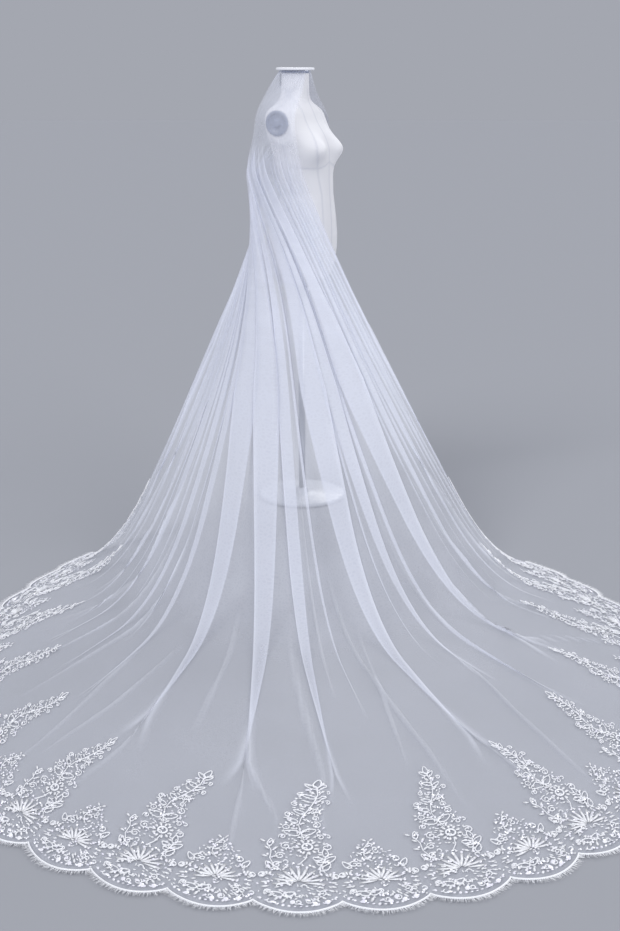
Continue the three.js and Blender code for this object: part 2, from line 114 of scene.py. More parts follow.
FLOOR_REACH = 40
FLOOR_SUNK = 0.0008
floor_bm = bmesh.new()
bmesh.ops.create_grid(floor_bm, x_segments=1, y_segments=1, size=FLOOR_REACH)
bmesh.ops.translate(floor_bm, verts=floor_bm.verts, vec=(0, 0, -FLOOR_SUNK))
floor = mesh_object("studio_floor", floor_bm, painted_floor())

world = bpy.data.worlds.new("studio")
world.use_nodes = True
world.node_tree.nodes["Background"].inputs["Color"].default_value = linear_colour("#A4A7B0")
bpy.context.scene.world = world

LIGHTS = [
    {"name": "key", "toward": (2.2, 2.4, -3.1), "strength": 1.45, "spread": 32},
    {"name": "fill", "toward": (-3.6, 2.0, -1.5), "strength": 1.3, "spread": 60},
    {"name": "back", "toward": (-1.4, -4.0, -2.8), "strength": 1.1, "spread": 28},
]
for light in LIGHTS:
    lamp_data = bpy.data.lights.new(light["name"], "SUN")
    lamp_data.energy = light["strength"]
    lamp_data.angle = math.radians(light["spread"])
    lamp = bpy.data.objects.new(light["name"], lamp_data)
    lamp.rotation_euler = Vector(light["toward"]).to_track_quat("-Z", "Y").to_euler()
    bpy.context.scene.collection.objects.link(lamp)
bpy.context.scene.cycles.transparent_max_bounces = 40
bpy.context.scene.view_settings.view_transform = "Standard"

# Dress form, torso
# A limbless padded torso covered in fine white jersey. The cover is sewn from panels, so a seam runs over
# each bust, down the middle of the front and back, down the sides and round under the bust.
TURN = math.radians(25)
AHEAD = np.array([math.cos(TURN), -math.sin(TURN), 0])
ASIDE = np.array([math.sin(TURN), math.cos(TURN), 0])
TORSO_UP = [0.810, 0.816, 0.838, 0.880, 0.935, 0.985, 1.045, 1.130, 1.190, 1.245, 1.290, 1.335, 1.378,
            1.412, 1.430, 1.447, 1.475, 1.540]
TORSO_HALF = [0.062, 0.098, 0.134, 0.158, 0.168, 0.164, 0.144, 0.118, 0.124, 0.134, 0.143, 0.164, 0.180,
              0.172, 0.128, 0.064, 0.049, 0.048]
TORSO_FRONT = [0.050, 0.076, 0.098, 0.110, 0.117, 0.117, 0.107, 0.092, 0.093, 0.099, 0.104, 0.096, 0.076,
               0.066, 0.058, 0.051, 0.048, 0.048]
TORSO_BACK = [0.054, 0.082, 0.104, 0.116, 0.120, 0.112, 0.096, 0.080, 0.084, 0.092, 0.097, 0.098, 0.092,
              0.082, 0.068, 0.055, 0.049, 0.048]
TORSO_CENTRE = [0, 0, 0, 0, 0, 0.002, 0.010, 0.018, 0.014, 0.008, 0.002, -0.008, -0.016, -0.020, -0.022,
                -0.024, -0.024, -0.024]
BUST_UP = 1.284
BUST_APART = 0.082
BUST_ROUND = 0.044
BUST_PROUD = 0.038
ARM_CUT = 0.150
# The seams over the busts: their height, and how far from the middle they run as a share of BUST_APART
PANEL_UP = [0.81, 1.13, BUST_UP, 1.43, 1.54]
PANEL_SHARE = [0.75, 0.6, 1, 0.85, 0.3]
UNDER_BUST = 1.222
SEAM_DEEP = 0.0004
SEAM_WIDE = 0.0035
# The tables' rows are softened over this reach, and less near the torso's crisp ends
SOFT_REACH = 0.012
TORSO_SIDES = 160
TORSO_RINGS = 150
LOWER_RINGS = 0.12


def form_point(ahead, left, up):
    """A point given ahead of the form's axis, toward its left side, and up."""
    return AHEAD * np.asarray(ahead)[..., None] + ASIDE * np.asarray(left)[..., None] + (
        np.array([0, 0, 1]) * np.asarray(up)[..., None])


def soften(up, table_up, table, reach):
    """A table read at each height, averaged over a short stretch, so that its rows leave no crease."""
    shifts = np.linspace(-reach, reach, 7)
    return sum(np.interp(up + shift, table_up, table) for shift in shifts) / len(shifts)


def torso_points(angle, up):
    """The torso's skin at an angle from straight ahead and a height, and how near each point is to a seam."""
    reach = SOFT_REACH * np.clip((up - 0.812) / 0.05, 0.05, 1) * np.clip((1.54 - up) / 0.03, 0.05, 1)
    half = soften(up, TORSO_UP, TORSO_HALF, reach)
    front = soften(up, TORSO_UP, TORSO_FRONT, reach)
    back = soften(up, TORSO_UP, TORSO_BACK, reach)
    centre = soften(up, TORSO_UP, TORSO_CENTRE, reach)
    facing = np.cos(angle) > 0
    depth = np.where(facing, front, back)
    left = np.clip(half * np.sin(angle), -ARM_CUT, ARM_CUT)
    lift = np.exp(-(((up - BUST_UP) / BUST_ROUND) ** 2))
    spread = np.exp(-(((np.abs(left) - BUST_APART) / BUST_ROUND) ** 2))
    bust = np.where(facing, BUST_PROUD * lift * spread * np.clip(np.cos(angle) * 3, 0, 1), 0)
    ahead = centre + depth * np.cos(angle) + bust
    panel = BUST_APART * np.interp(up, PANEL_UP, PANEL_SHARE)
    seams = [
        np.abs(np.abs(left) - panel),
        np.abs(left),
        np.where(np.abs(left) < ARM_CUT - 0.001, np.abs(ahead - centre), 1),
        np.where(facing, np.abs(up - UNDER_BUST - 3 * (np.abs(left) - BUST_APART) ** 2), 1),
    ]
    near = sum(np.exp(-((gap / SEAM_WIDE) ** 2)) for gap in seams)
    near = np.clip(near, 0, 1) * np.clip((1.50 - up) / 0.02, 0, 1)
    shrink = 1 - SEAM_DEEP * near / np.maximum(np.hypot(ahead - centre, left), 0.03)
    return form_point(centre + (ahead - centre) * shrink, left * shrink, up), near


def jersey():
    """Cotton jersey: matt, with rows of stitches 1.4 mm apart, drawn a little coarse, and darker seams."""
    material, tree, shader = start_material("white cotton jersey")
    place = add_node(tree, "ShaderNodeTexCoord")
    rows = add_node(tree, "ShaderNodeTexWave", {
        "Vector": place.outputs["Object"], "Scale": 220, "Distortion": 0.4, "Detail": 1.0,
    }, bands_direction="Z")
    mottle = add_node(tree, "ShaderNodeTexNoise", {
        "Vector": place.outputs["Object"], "Scale": 9, "Detail": 3.0,
    })
    seam = add_node(tree, "ShaderNodeAttribute", attribute_name="seam")
    cloth = add_node(tree, "ShaderNodeMix", {
        "Factor": mottle.outputs["Fac"], "A": linear_colour("#EEEEF3"), "B": linear_colour("#F6F6F9"),
    }, data_type="RGBA")
    shade = add_node(tree, "ShaderNodeMix", {
        "Factor": seam.outputs["Fac"], "A": cloth.outputs["Result"], "B": linear_colour("#E0E1E8"),
    }, data_type="RGBA")
    bump = add_node(tree, "ShaderNodeBump", {
        "Height": rows.outputs["Fac"], "Strength": 0.25, "Distance": 0.0006,
    })
    set_inputs(tree, shader, {
        "Base Color": shade.outputs["Result"],
        "Roughness": 0.82,
        "Sheen Weight": 0.25,
        "Sheen Roughness": 0.5,
        "Normal": bump.outputs["Normal"],
    })
    return material


def wrap_grid(columns, rows, place):
    """A grid bent into a tube by place(share across, share along) -> points, with its two sides joined."""
    bm = bmesh.new()
    bmesh.ops.create_grid(bm, x_segments=columns, y_segments=rows, size=0.5)
    across = np.array([vert.co.x + 0.5 for vert in bm.verts])
    along = np.array([vert.co.y + 0.5 for vert in bm.verts])
    for vert, point in zip(bm.verts, place(across, along)):
        vert.co = point
    bmesh.ops.remove_doubles(bm, verts=bm.verts, dist=1e-5)
    return bm


def close_ends(bm):
    """Fills the open ends of a tube and turns every face outwards."""
    open_edges = [edge for edge in bm.edges if edge.is_boundary]
    bmesh.ops.holes_fill(bm, edges=open_edges, sides=0)
    bmesh.ops.recalc_face_normals(bm, faces=bm.faces)


def torso_place(across, along):
    """The torso's skin, with its rings closer together at the lower end."""
    eased = np.where(along < LOWER_RINGS, along ** 1.5 * LOWER_RINGS ** -0.5, along)
    up = TORSO_UP[0] + (TORSO_UP[-1] - TORSO_UP[0]) * eased
    return torso_points(across * 2 * math.pi, up)[0]


torso_bm = wrap_grid(TORSO_SIDES, TORSO_RINGS, torso_place)
close_ends(torso_bm)
seam_layer = torso_bm.verts.layers.float.new("seam")
torso_at = np.array([vert.co for vert in torso_bm.verts])
torso_up = torso_at[:, 2]
torso_ahead = torso_at @ AHEAD - np.interp(torso_up, TORSO_UP, TORSO_CENTRE)
torso_depth = np.where(torso_ahead > 0, np.interp(torso_up, TORSO_UP, TORSO_FRONT),
                       np.interp(torso_up, TORSO_UP, TORSO_BACK))
torso_left = torso_at @ ASIDE / np.interp(torso_up, TORSO_UP, TORSO_HALF)
torso_angle = np.arctan2(torso_left, torso_ahead / torso_depth)
for vert, near in zip(torso_bm.verts, torso_points(torso_angle, torso_up)[1]):
    vert[seam_layer] = near
torso = mesh_object("jersey_torso", torso_bm, jersey())
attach(torso, "root")
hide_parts("form_torso")


# Dress form, neck cap and arm plates
# Moulded plastic pieces that close the cuts of the neck and the arms. Each arm plate is a round disc with a
# raised rim and a knob in its middle.
def turned(profile, steps=64):
    """A solid of revolution round Z from an outline of (radius, height) points that starts and ends on it."""
    bm = bmesh.new()
    verts = [bm.verts.new((radius, 0, height)) for radius, height in profile]
    edges = [bm.edges.new(pair) for pair in zip(verts, verts[1:])]
    bmesh.ops.spin(bm, geom=[*verts, *edges], cent=(0, 0, 0), axis=(0, 0, 1), angle=2 * math.pi,
                   steps=steps, use_merge=True)
    bmesh.ops.remove_doubles(bm, verts=bm.verts, dist=1e-6)
    bmesh.ops.recalc_face_normals(bm, faces=bm.faces)
    return bm


def moulded_plastic():
    """Injection-moulded ABS: cool light grey, with a low gloss and a fine mould texture 1.1 mm wide."""
    material, tree, shader = start_material("moulded ABS plastic")
    place = add_node(tree, "ShaderNodeTexCoord")
    grain = add_node(tree, "ShaderNodeTexNoise", {
        "Vector": place.outputs["Object"], "Scale": 900, "Detail": 2.0,
    })
    wear = add_node(tree, "ShaderNodeTexNoise", {
        "Vector": place.outputs["Object"], "Scale": 30, "Detail": 4.0,
    })
    gloss = add_node(tree, "ShaderNodeMapRange", {
        "Value": wear.outputs["Fac"], "To Min": 0.28, "To Max": 0.45,
    })
    bump = add_node(tree, "ShaderNodeBump", {
        "Height": grain.outputs["Fac"], "Strength": 0.1, "Distance": 0.0003,
    })
    set_inputs(tree, shader, {
        "Base Color": linear_colour("#949CB2"),
        "Roughness": gloss.outputs["Result"],
        "Normal": bump.outputs["Normal"],
    })
    return material


plastic = moulded_plastic()
# Pieces that touch are this far apart
GAP = 0.0003
NECK_AHEAD = TORSO_CENTRE[-1]
NECK_RADIUS = 0.048
NECK_BOTTOM = 1.5403
NECK_TOP = 1.550
cap_bm = turned([(0, NECK_BOTTOM), (NECK_RADIUS - 0.001, NECK_BOTTOM), (NECK_RADIUS, NECK_BOTTOM + 0.001),
                 (NECK_RADIUS, NECK_TOP - 0.003), (NECK_RADIUS - 0.001, NECK_TOP - 0.0012),
                 (NECK_RADIUS - 0.004, NECK_TOP), (0, NECK_TOP)])
bmesh.ops.translate(cap_bm, verts=cap_bm.verts, vec=AHEAD * NECK_AHEAD)
cap = mesh_object("neck_cap", cap_bm, plastic)
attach(cap, "root")
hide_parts("form_neck_cap")

PLATE_RADIUS = 0.042
PLATE_UP = 1.376
PLATE_AHEAD = -0.021
for side_name, side in (("right", -1), ("left", 1)):
    r = PLATE_RADIUS
    plate_bm = turned([(0, 0), (r - 0.002, 0), (r, 0.002), (r, 0.005), (r - 0.003, 0.007),
                       (r - 0.006, 0.0078), (r - 0.009, 0.007), (r - 0.0105, 0.0048), (r - 0.011, 0.004),
                       (0.018, 0.0035), (0.0145, 0.0042), (0.013, 0.009), (0.012, 0.012), (0.0105, 0.0134),
                       (0.008, 0.014), (0, 0.014)])
    across_form = Vector(ASIDE * side)
    turn = Vector((0, 0, 1)).rotation_difference(across_form).to_matrix()
    bmesh.ops.rotate(plate_bm, verts=plate_bm.verts, cent=(0, 0, 0), matrix=turn)
    centre = form_point(PLATE_AHEAD, side * (ARM_CUT + GAP), PLATE_UP)
    bmesh.ops.translate(plate_bm, verts=plate_bm.verts, vec=centre)
    plate = mesh_object(f"arm_plate_{side_name}", plate_bm, plastic)
    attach(plate, "root")
    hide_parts(f"form_arm_plate_{side_name}")


# Stand
# A steel pole in a heavy round base with light grey enamel, and a turned steel collar that carries the torso.
def brushed_steel():
    """Drawn steel tube: grey, with fine scratches along it that stretch the highlights."""
    material, tree, shader = start_material("drawn steel")
    place = add_node(tree, "ShaderNodeTexCoord")
    along = add_node(tree, "ShaderNodeMapping", {"Vector": place.outputs["Object"], "Scale": (1, 1, 0.02)})
    scratch = add_node(tree, "ShaderNodeTexNoise", {
        "Vector": along.outputs["Vector"], "Scale": 1200, "Detail": 3.0,
    })
    rough = add_node(tree, "ShaderNodeMapRange", {
        "Value": scratch.outputs["Fac"], "To Min": 0.25, "To Max": 0.42,
    })
    set_inputs(tree, shader, {
        "Base Color": linear_colour("#B9BCC2"),
        "Metallic": 1.0,
        "Roughness": rough.outputs["Result"],
    })
    return material


def grey_enamel():
    """Stove enamel on cast steel: light grey and smooth, with a faint orange-peel skin."""
    material, tree, shader = start_material("grey stove enamel")
    place = add_node(tree, "ShaderNodeTexCoord")
    peel = add_node(tree, "ShaderNodeTexNoise", {
        "Vector": place.outputs["Object"], "Scale": 260, "Detail": 1.0,
    })
    bump = add_node(tree, "ShaderNodeBump", {
        "Height": peel.outputs["Fac"], "Strength": 0.12, "Distance": 0.0004,
    })
    set_inputs(tree, shader, {
        "Base Color": linear_colour("#BBBEC6"),
        "Roughness": 0.45,
        "Coat Weight": 0.1,
        "Normal": bump.outputs["Normal"],
    })
    return material


steel = brushed_steel()
BASE_RADIUS = 0.160
BASE_THICK = 0.014
BOSS_TOP = BASE_THICK + 0.018
base_bm = turned([(0, 0), (BASE_RADIUS - 0.002, 0), (BASE_RADIUS, 0.002), (BASE_RADIUS, 0.009),
                  (BASE_RADIUS - 0.001, 0.0115), (BASE_RADIUS - 0.005, BASE_THICK), (0.027, BASE_THICK),
                  (0.025, BASE_THICK + 0.001), (0.0225, BOSS_TOP - 0.002), (0.0215, BOSS_TOP), (0, BOSS_TOP)],
                 steps=96)
base = mesh_object("stand_base_enamel", base_bm, grey_enamel())
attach(base, "root")
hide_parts("stand_base")

POLE_RADIUS = 0.0125
TORSO_BOTTOM = TORSO_UP[0]
COLLAR_BOTTOM = TORSO_BOTTOM - 0.0163
pole_bm = turned([(0, BOSS_TOP + GAP), (POLE_RADIUS, BOSS_TOP + GAP),
                  (POLE_RADIUS, COLLAR_BOTTOM - GAP), (0, COLLAR_BOTTOM - GAP)], steps=48)
pole = mesh_object("stand_pole_steel", pole_bm, steel)
collar_bm = turned([(0, COLLAR_BOTTOM), (0.023, COLLAR_BOTTOM), (0.0243, COLLAR_BOTTOM + 0.001),
                    (0.0395, TORSO_BOTTOM - 0.0045), (0.040, TORSO_BOTTOM - 0.0035),
                    (0.040, TORSO_BOTTOM - GAP), (0, TORSO_BOTTOM - GAP)])
collar = mesh_object("stand_collar_steel", collar_bm, steel)
for piece, node in ((pole, "stand_pole"), (collar, "stand_collar")):
    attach(piece, "root")
    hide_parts(node)

# Veil, tulle
# One large piece of soft tulle. It is gathered at the top of the neck, covers the back and the shoulders,
# rounds off at the hip and fans out over the floor. The gathers fall in flat folds that open before the hem.
TOP = 1.550
ROUNDING_START = 1.200
HIP = 0.900
ROUNDING_END = 0.620
# Strands bow sideways by FLARE, run STRAND_CURVE times the straight way, and lie flat by this share of it
FLARE = 0.210
STRAND_CURVE = 1.03
FLAT_BY = 0.95
# Over the form: height, oval's centre, half width, depth behind and in front, and the cloth's right and left
# edges in degrees from straight ahead, counted over the right shoulder
DRAPE = np.array([
    (0.900, 0.000, 0.186, 0.186, 0.190, 27, 162),
    (1.020, 0.000, 0.186, 0.181, 0.165, 38, 187),
    (1.130, 0.000, 0.189, 0.178, 0.150, 50, 225),
    (1.240, -0.005, 0.195, 0.162, 0.137, 57, 255),
    (1.345, -0.015, 0.196, 0.140, 0.118, 56, 285),
    (1.400, -0.020, 0.180, 0.133, 0.095, 52, 305),
    (1.447, -0.024, 0.126, 0.116, 0.075, 45, 318),
    (1.500, -0.024, 0.080, 0.086, 0.060, 32, 325),
    (1.550, -0.024, 0.050, 0.050, 0.050, 20, 330),
])
# Where each strand of cloth meets the floor: place across the cloth, distance from the hip, length of bend
TOUCH = np.array([
    (0.00, 0.740, 0.160), (0.10, 0.860, 0.180), (0.20, 1.000, 0.220), (0.35, 1.120, 0.280),
    (0.50, 1.150, 0.300), (0.65, 1.130, 0.280), (0.80, 1.020, 0.220), (0.90, 0.900, 0.170),
    (1.00, 0.720, 0.130),
])
# Outline of the hem on the floor, an oval round this centre with its own reach to each side
TRAIN_X = 0.040
TRAIN_Y = -1.600
TRAIN_ACROSS = 0.980
TRAIN_FRONT = 1.010
TRAIN_BACK_LEFT = 1.440
TRAIN_BACK_RIGHT = 1.230
hem_angle = np.radians(np.linspace(-131.5, 134.8, 1441))
hem_reach = np.where(np.cos(hem_angle) > 0, TRAIN_FRONT,
                     np.where(np.sin(hem_angle) < 0, TRAIN_BACK_LEFT, TRAIN_BACK_RIGHT))
hem_x = TRAIN_X + TRAIN_ACROSS * np.sin(hem_angle)
hem_y = TRAIN_Y - hem_reach * np.cos(hem_angle)
hem_run = np.concatenate([[0], np.cumsum(np.hypot(np.diff(hem_x), np.diff(hem_y)))])
HEM_LENGTH = hem_run[-1]
LACE_PEAK = 0.470
LACE_OF_STRAND = 0.4
SCALLOPS = 29
SCALLOP_DEPTH = 0.036
SCALLOP_ROUND = 0.8


def mix(a, b, share):
    """A value that share of the way from a to b."""
    return a + (b - a) * share


def smooth(share):
    """A share held from 0 to 1 that starts and stops gently."""
    t = np.clip(share, 0, 1)
    return t * t * (3 - 2 * t)


def drape(across, up):
    """The cloth over the form, at a place across it and a height."""
    reach = np.clip(TOP - up, 0, 0.03)
    centre, side, back, front, right, left = (
        soften(up, DRAPE[:, 0], DRAPE[:, column], reach) for column in range(1, 7))
    angle = np.radians(mix(left, right, across))
    depth = np.where(np.cos(angle) > 0, front, back)
    return form_point(centre + depth * np.cos(angle), -side * np.sin(angle), up)


def strand(across):
    """The strand of cloth at a place across it: its ends and bow, length, and where it meets the floor."""
    hip = drape(across, np.full_like(across, HIP))[..., :2]
    end = np.stack([np.interp(across * HEM_LENGTH, hem_run, hem_x),
                    np.interp(across * HEM_LENGTH, hem_run, hem_y)], axis=-1)
    run = end - hip
    length = np.hypot(run[..., 0], run[..., 1])
    flare = (FLARE * np.sin(2 * math.pi * across) / length)[..., None]
    bow = (hip + end) / 2 + np.stack([-run[..., 1], run[..., 0]], axis=-1) * flare
    length = length * STRAND_CURVE
    away = np.interp(across, TOUCH[:, 0], TOUCH[:, 1])
    bend = np.interp(across, TOUCH[:, 0], TOUCH[:, 2])
    fit = np.minimum(1, length * FLAT_BY / (away + bend))
    away, bend = away * fit, bend * fit
    start = away * (1 - ROUNDING_END / HIP) / length
    return hip, bow, end, length, away, bend, start


def on_strand(parts, along):
    """A point on a strand, from 0 at the hip to 1 at the hem."""
    hip, bow, end, length, away, bend, _ = parts
    t = along[..., None]
    flat = (1 - t) ** 2 * hip + 2 * t * (1 - t) * bow + t ** 2 * end
    run = along * length
    before, after = away - bend, away + bend
    bent = HIP / (4 * bend * away) * np.clip(after - run, 0, None) ** 2
    up = np.where(run < before, HIP * (1 - run / away), bent)
    return np.concatenate([flat, up[..., None]], axis=-1)


def base_cloth(across, down):
    """The cloth without folds. Down is 0 at the top, 1 above the hip, 2 on the train and 3 at the hem."""
    across = np.clip(across, 0, 1)
    parts = strand(across)
    start = parts[6]
    over_form = drape(across, mix(TOP, ROUNDING_START, np.clip(down, 0, 1)))
    train = on_strand(parts, mix(start, 1, np.maximum(down - 2, 0)))
    t = np.clip(down - 1, 0, 1)[..., None]
    corner = np.concatenate([parts[0], np.full_like(parts[0][..., :1], HIP)], axis=-1)
    rounding = ((1 - t) ** 2 * drape(across, np.full_like(across, ROUNDING_START))
                + 2 * t * (1 - t) * corner + t ** 2 * on_strand(parts, start))
    where = down[..., None]
    return np.where(where <= 1, over_form, np.where(where <= 2, rounding, train))


def base_normal(across, down):
    """Straight out from the cloth without folds."""
    step = 0.004
    left = base_cloth(np.clip(across - step, 0, 1), down)
    right = base_cloth(np.clip(across + step, 0, 1), down)
    above = base_cloth(across, np.maximum(down - 3 * step, 0))
    below = base_cloth(across, down + 3 * step)
    normal = np.cross(below - above, right - left)
    return normal / np.linalg.norm(normal, axis=-1, keepdims=True)


# Flat folds, from the left edge to the right one: place across the cloth at the hip and on the floor, width
# laid flat, depth, the side each opens to, and how far from the hem its tip is and it has its full width
FOLDS = [
    (0.020, 0.016, 0.010, 0.005, 1, 0.60, 1.10),
    (0.052, 0.034, 0.016, 0.008, 1, 0.35, 0.90),
    (0.098, 0.058, 0.009, 0.006, 1, 0.55, 1.30),
    (0.135, 0.079, 0.022, 0.010, 1, 0.30, 1.00),
    (0.172, 0.103, 0.010, 0.007, 1, 0.70, 1.30),
    (0.204, 0.121, 0.028, 0.011, 1, 0.42, 1.20),
    (0.222, 0.147, 0.008, 0.006, 1, 0.90, 1.50),
    (0.243, 0.165, 0.018, 0.009, 1, 0.38, 1.10),
    (0.258, 0.196, 0.012, 0.008, -1, 0.62, 1.20),
    (0.272, 0.216, 0.034, 0.012, 1, 0.50, 1.30),
    (0.290, 0.243, 0.010, 0.007, 1, 0.85, 1.45),
    (0.302, 0.268, 0.024, 0.011, 1, 0.55, 1.25),
    (0.312, 0.292, 0.009, 0.006, -1, 1.00, 1.60),
    (0.322, 0.318, 0.026, 0.012, 1, 0.62, 1.40),
    (0.350, 0.385, 0.110, 0.020, 1, 0.62, 2.00),
    (0.428, 0.470, 0.105, 0.022, 1, 0.54, 1.90),
    (0.512, 0.527, 0.048, 0.016, 1, 0.50, 1.50),
    (0.556, 0.565, 0.010, 0.007, -1, 0.95, 1.50),
    (0.630, 0.630, 0.090, 0.020, -1, 0.52, 1.90),
    (0.660, 0.667, 0.010, 0.007, 1, 1.10, 1.60),
    (0.680, 0.692, 0.052, 0.016, -1, 0.84, 1.80),
    (0.714, 0.722, 0.014, 0.008, -1, 0.50, 1.20),
    (0.748, 0.776, 0.100, 0.020, -1, 0.58, 1.70),
    (0.800, 0.822, 0.010, 0.007, -1, 0.80, 1.40),
    (0.826, 0.842, 0.022, 0.010, -1, 0.42, 1.10),
    (0.852, 0.866, 0.010, 0.007, -1, 0.70, 1.30),
    (0.872, 0.884, 0.026, 0.011, -1, 0.36, 1.00),
    (0.898, 0.904, 0.009, 0.006, -1, 0.60, 1.20),
    (0.918, 0.922, 0.018, 0.009, -1, 0.34, 0.90),
    (0.944, 0.944, 0.010, 0.006, -1, 0.50, 1.00),
    (0.966, 0.965, 0.014, 0.007, -1, 0.36, 0.85),
    (0.986, 0.985, 0.008, 0.005, -1, 0.50, 0.95),
]
# A fold takes up FOLD_CLOTH times its width, and has none where the cloth is gathered to FOLD_ROOM. At its
# tip it is TIP_CLOSED closed, and it is open at TIP_TO_OPEN of the tip's distance from the hem.
FOLD_CLOTH = 3.2
FOLD_ROOM = 0.215
TIP_CLOSED = 0.46
TIP_TO_OPEN = 0.6
# Width of a fold's turned edges, where down the folds start and are whole, and the share of their depth that
# they keep on the floor
TURN_WIDE = 0.13
FOLDS_START = 0.5
FOLDS_FORMED = 1.35
FLOOR_DEEP = 0.35
# The visible sheet laid flat
FLAT_WIDTH = 2.8
VEIL_LENGTH = 3.5

width_downs = np.linspace(0, 3, 61)
width_lines = base_cloth(*np.meshgrid(np.linspace(0, 1, 41), width_downs))
width_table = np.linalg.norm(np.diff(width_lines, axis=1), axis=-1).sum(axis=1)
fold_parts = strand(np.array([fold[1] for fold in FOLDS]))
fold_trains = (1 - fold_parts[6]) * fold_parts[3]


def turn_rise(s):
    """Share of a fold's depth from its first edge, at -1, to its last, at 1: gained where the cloth turns."""
    steps = 0.5 * smooth((s + 0.8) / 0.6) + 0.5 * smooth((s - 0.2) / 0.6)
    return 0.86 * steps + 0.14 * (s + 1) / 2


def laid_cloth(column, down):
    """The folded cloth at a place across its flat width, 0 to 1, and down: place across the form, how proud
    it stands, and how near it is to a turned edge."""
    width = np.interp(down, width_downs, width_table)
    across = column.copy()
    proud = np.zeros_like(column)
    turn = np.zeros_like(column)
    edges_at = [np.zeros_like(column)]
    edges_to = [np.zeros_like(column)]
    edges_proud = [np.zeros_like(column)]
    for fold, train in zip(FOLDS, fold_trains):
        hip, floor_place, wide, deep, side, tip, full = fold
        half = FOLD_CLOTH * wide / HEM_LENGTH / 2
        place = mix(hip, floor_place, smooth((down - 1.2) / 1.2))
        left = train * np.clip(3 - down, 0, 1)
        tip, full = min(tip, 0.6 * train), min(full, 0.98 * train)
        lifted = np.interp(left, [tip * TIP_TO_OPEN, tip, full], [0, TIP_CLOSED, 1])
        formed = smooth((down - FOLDS_START) / (FOLDS_FORMED - FOLDS_START))
        closed = lifted * formed
        overlap = np.minimum(wide, 1.15 * wide * np.maximum(width - FOLD_ROOM, 0)) / width
        low = mix(1.0, FLOOR_DEEP, smooth((down - 2.05) / 0.35))
        depth = deep * low * formed * np.sqrt(lifted)
        s = (column - floor_place) / half
        inside = np.abs(s) <= 1
        t = np.clip(s, -1, 1)
        turned_at = place + overlap / 2 * (4 * t ** 3 - 3 * t)
        opened_at = floor_place + t * half + (place - floor_place) * closed
        rise = turn_rise(t * side) if side > 0 else turn_rise(-t)
        across = np.where(inside, mix(opened_at, turned_at, closed), across)
        proud = np.where(inside, depth * rise, proud)
        at_turn = np.exp(-(((np.abs(t) - 0.5) / TURN_WIDE) ** 2))
        turn = np.where(inside, at_turn * smooth(closed / TIP_CLOSED) ** 3, turn)
        for end in (-1, 1):
            edges_at.append(np.full_like(column, floor_place + end * half))
            edges_to.append(mix(floor_place + end * half + (place - floor_place) * closed,
                                place + end * overlap / 2, closed))
            edges_proud.append(depth * float(turn_rise(np.float64(end * side))))
    edges_at.append(np.ones_like(column))
    edges_to.append(np.ones_like(column))
    edges_proud.append(np.zeros_like(column))
    for gap in range(0, len(edges_at) - 1, 2):
        share = (column - edges_at[gap]) / (edges_at[gap + 1] - edges_at[gap])
        between = (share >= 0) & (share <= 1)
        across = np.where(between, mix(edges_to[gap], edges_to[gap + 1], share), across)
        proud = np.where(between, mix(edges_proud[gap], edges_proud[gap + 1], smooth(share)), proud)
    return across, proud, turn


# Soft creases: place across the cloth at their start and end, down at both, width, and height
CREASES = [
    (0.580, 0.592, 2.30, 2.90, 0.0022, 0.009),
    (0.596, 0.572, 2.42, 2.78, 0.0018, 0.007),
    (0.740, 0.846, 2.36, 2.92, 0.0030, 0.010),
    (0.756, 0.800, 2.30, 2.74, 0.0022, 0.008),
    (0.712, 0.728, 2.24, 2.84, 0.0024, 0.008),
    (0.690, 0.664, 2.55, 2.93, 0.0026, 0.009),
    (0.300, 0.272, 2.20, 2.86, 0.0026, 0.009),
    (0.322, 0.330, 2.35, 2.95, 0.0020, 0.007),
    (0.352, 0.338, 2.48, 2.88, 0.0020, 0.008),
    (0.246, 0.180, 2.10, 2.74, 0.0030, 0.010),
    (0.262, 0.230, 2.22, 2.90, 0.0020, 0.008),
    (0.200, 0.148, 2.05, 2.66, 0.0026, 0.009),
    (0.508, 0.516, 2.40, 2.94, 0.0018, 0.006),
    (0.430, 0.428, 2.38, 2.70, 0.0018, 0.007),
    (0.474, 0.468, 2.70, 2.97, 0.0024, 0.008),
    (0.484, 0.492, 2.62, 2.90, 0.0018, 0.006),
    (0.396, 0.372, 2.62, 2.92, 0.0022, 0.007),
    (0.552, 0.548, 2.15, 2.60, 0.0020, 0.007),
    (0.640, 0.634, 2.66, 2.96, 0.0022, 0.007),
    (0.822, 0.862, 2.20, 2.80, 0.0028, 0.009),
    (0.880, 0.912, 2.10, 2.72, 0.0026, 0.009),
    (0.924, 0.946, 1.95, 2.66, 0.0024, 0.008),
    (0.130, 0.090, 2.02, 2.70, 0.0030, 0.010),
    (0.092, 0.066, 1.90, 2.60, 0.0024, 0.009),
    (0.044, 0.048, 1.85, 2.55, 0.0024, 0.008),
    (0.962, 0.972, 1.85, 2.55, 0.0022, 0.008),
]
CREASE_NARROW = 0.62
# Soft waves of the hanging cloth: their number, where they start, and height
WAVES = [(7, 0.9, 0.0040), (17, 2.1, 0.0026), (29, 4.4, 0.0014)]
GATHERS = 36
GATHER_HIGH = 0.0012
GATHER_REACH = 0.30
CLOTH_CLEAR = 0.0012
FLOOR_CLEAR = 0.0016


def crease_at(crease, column, down):
    """How much of its height a soft crease has at a point."""
    first, last, start, stop, wide, _ = crease
    wide = CREASE_NARROW * wide
    share = np.clip((down - start) / (stop - start), 0, 1)
    wander = 0.25 * wide * np.sin(9 * share + 40 * first)
    gap = (column - mix(first, last, share) - wander) / wide
    return np.sin(math.pi * share) ** 0.8 * np.exp(-gap ** 2)


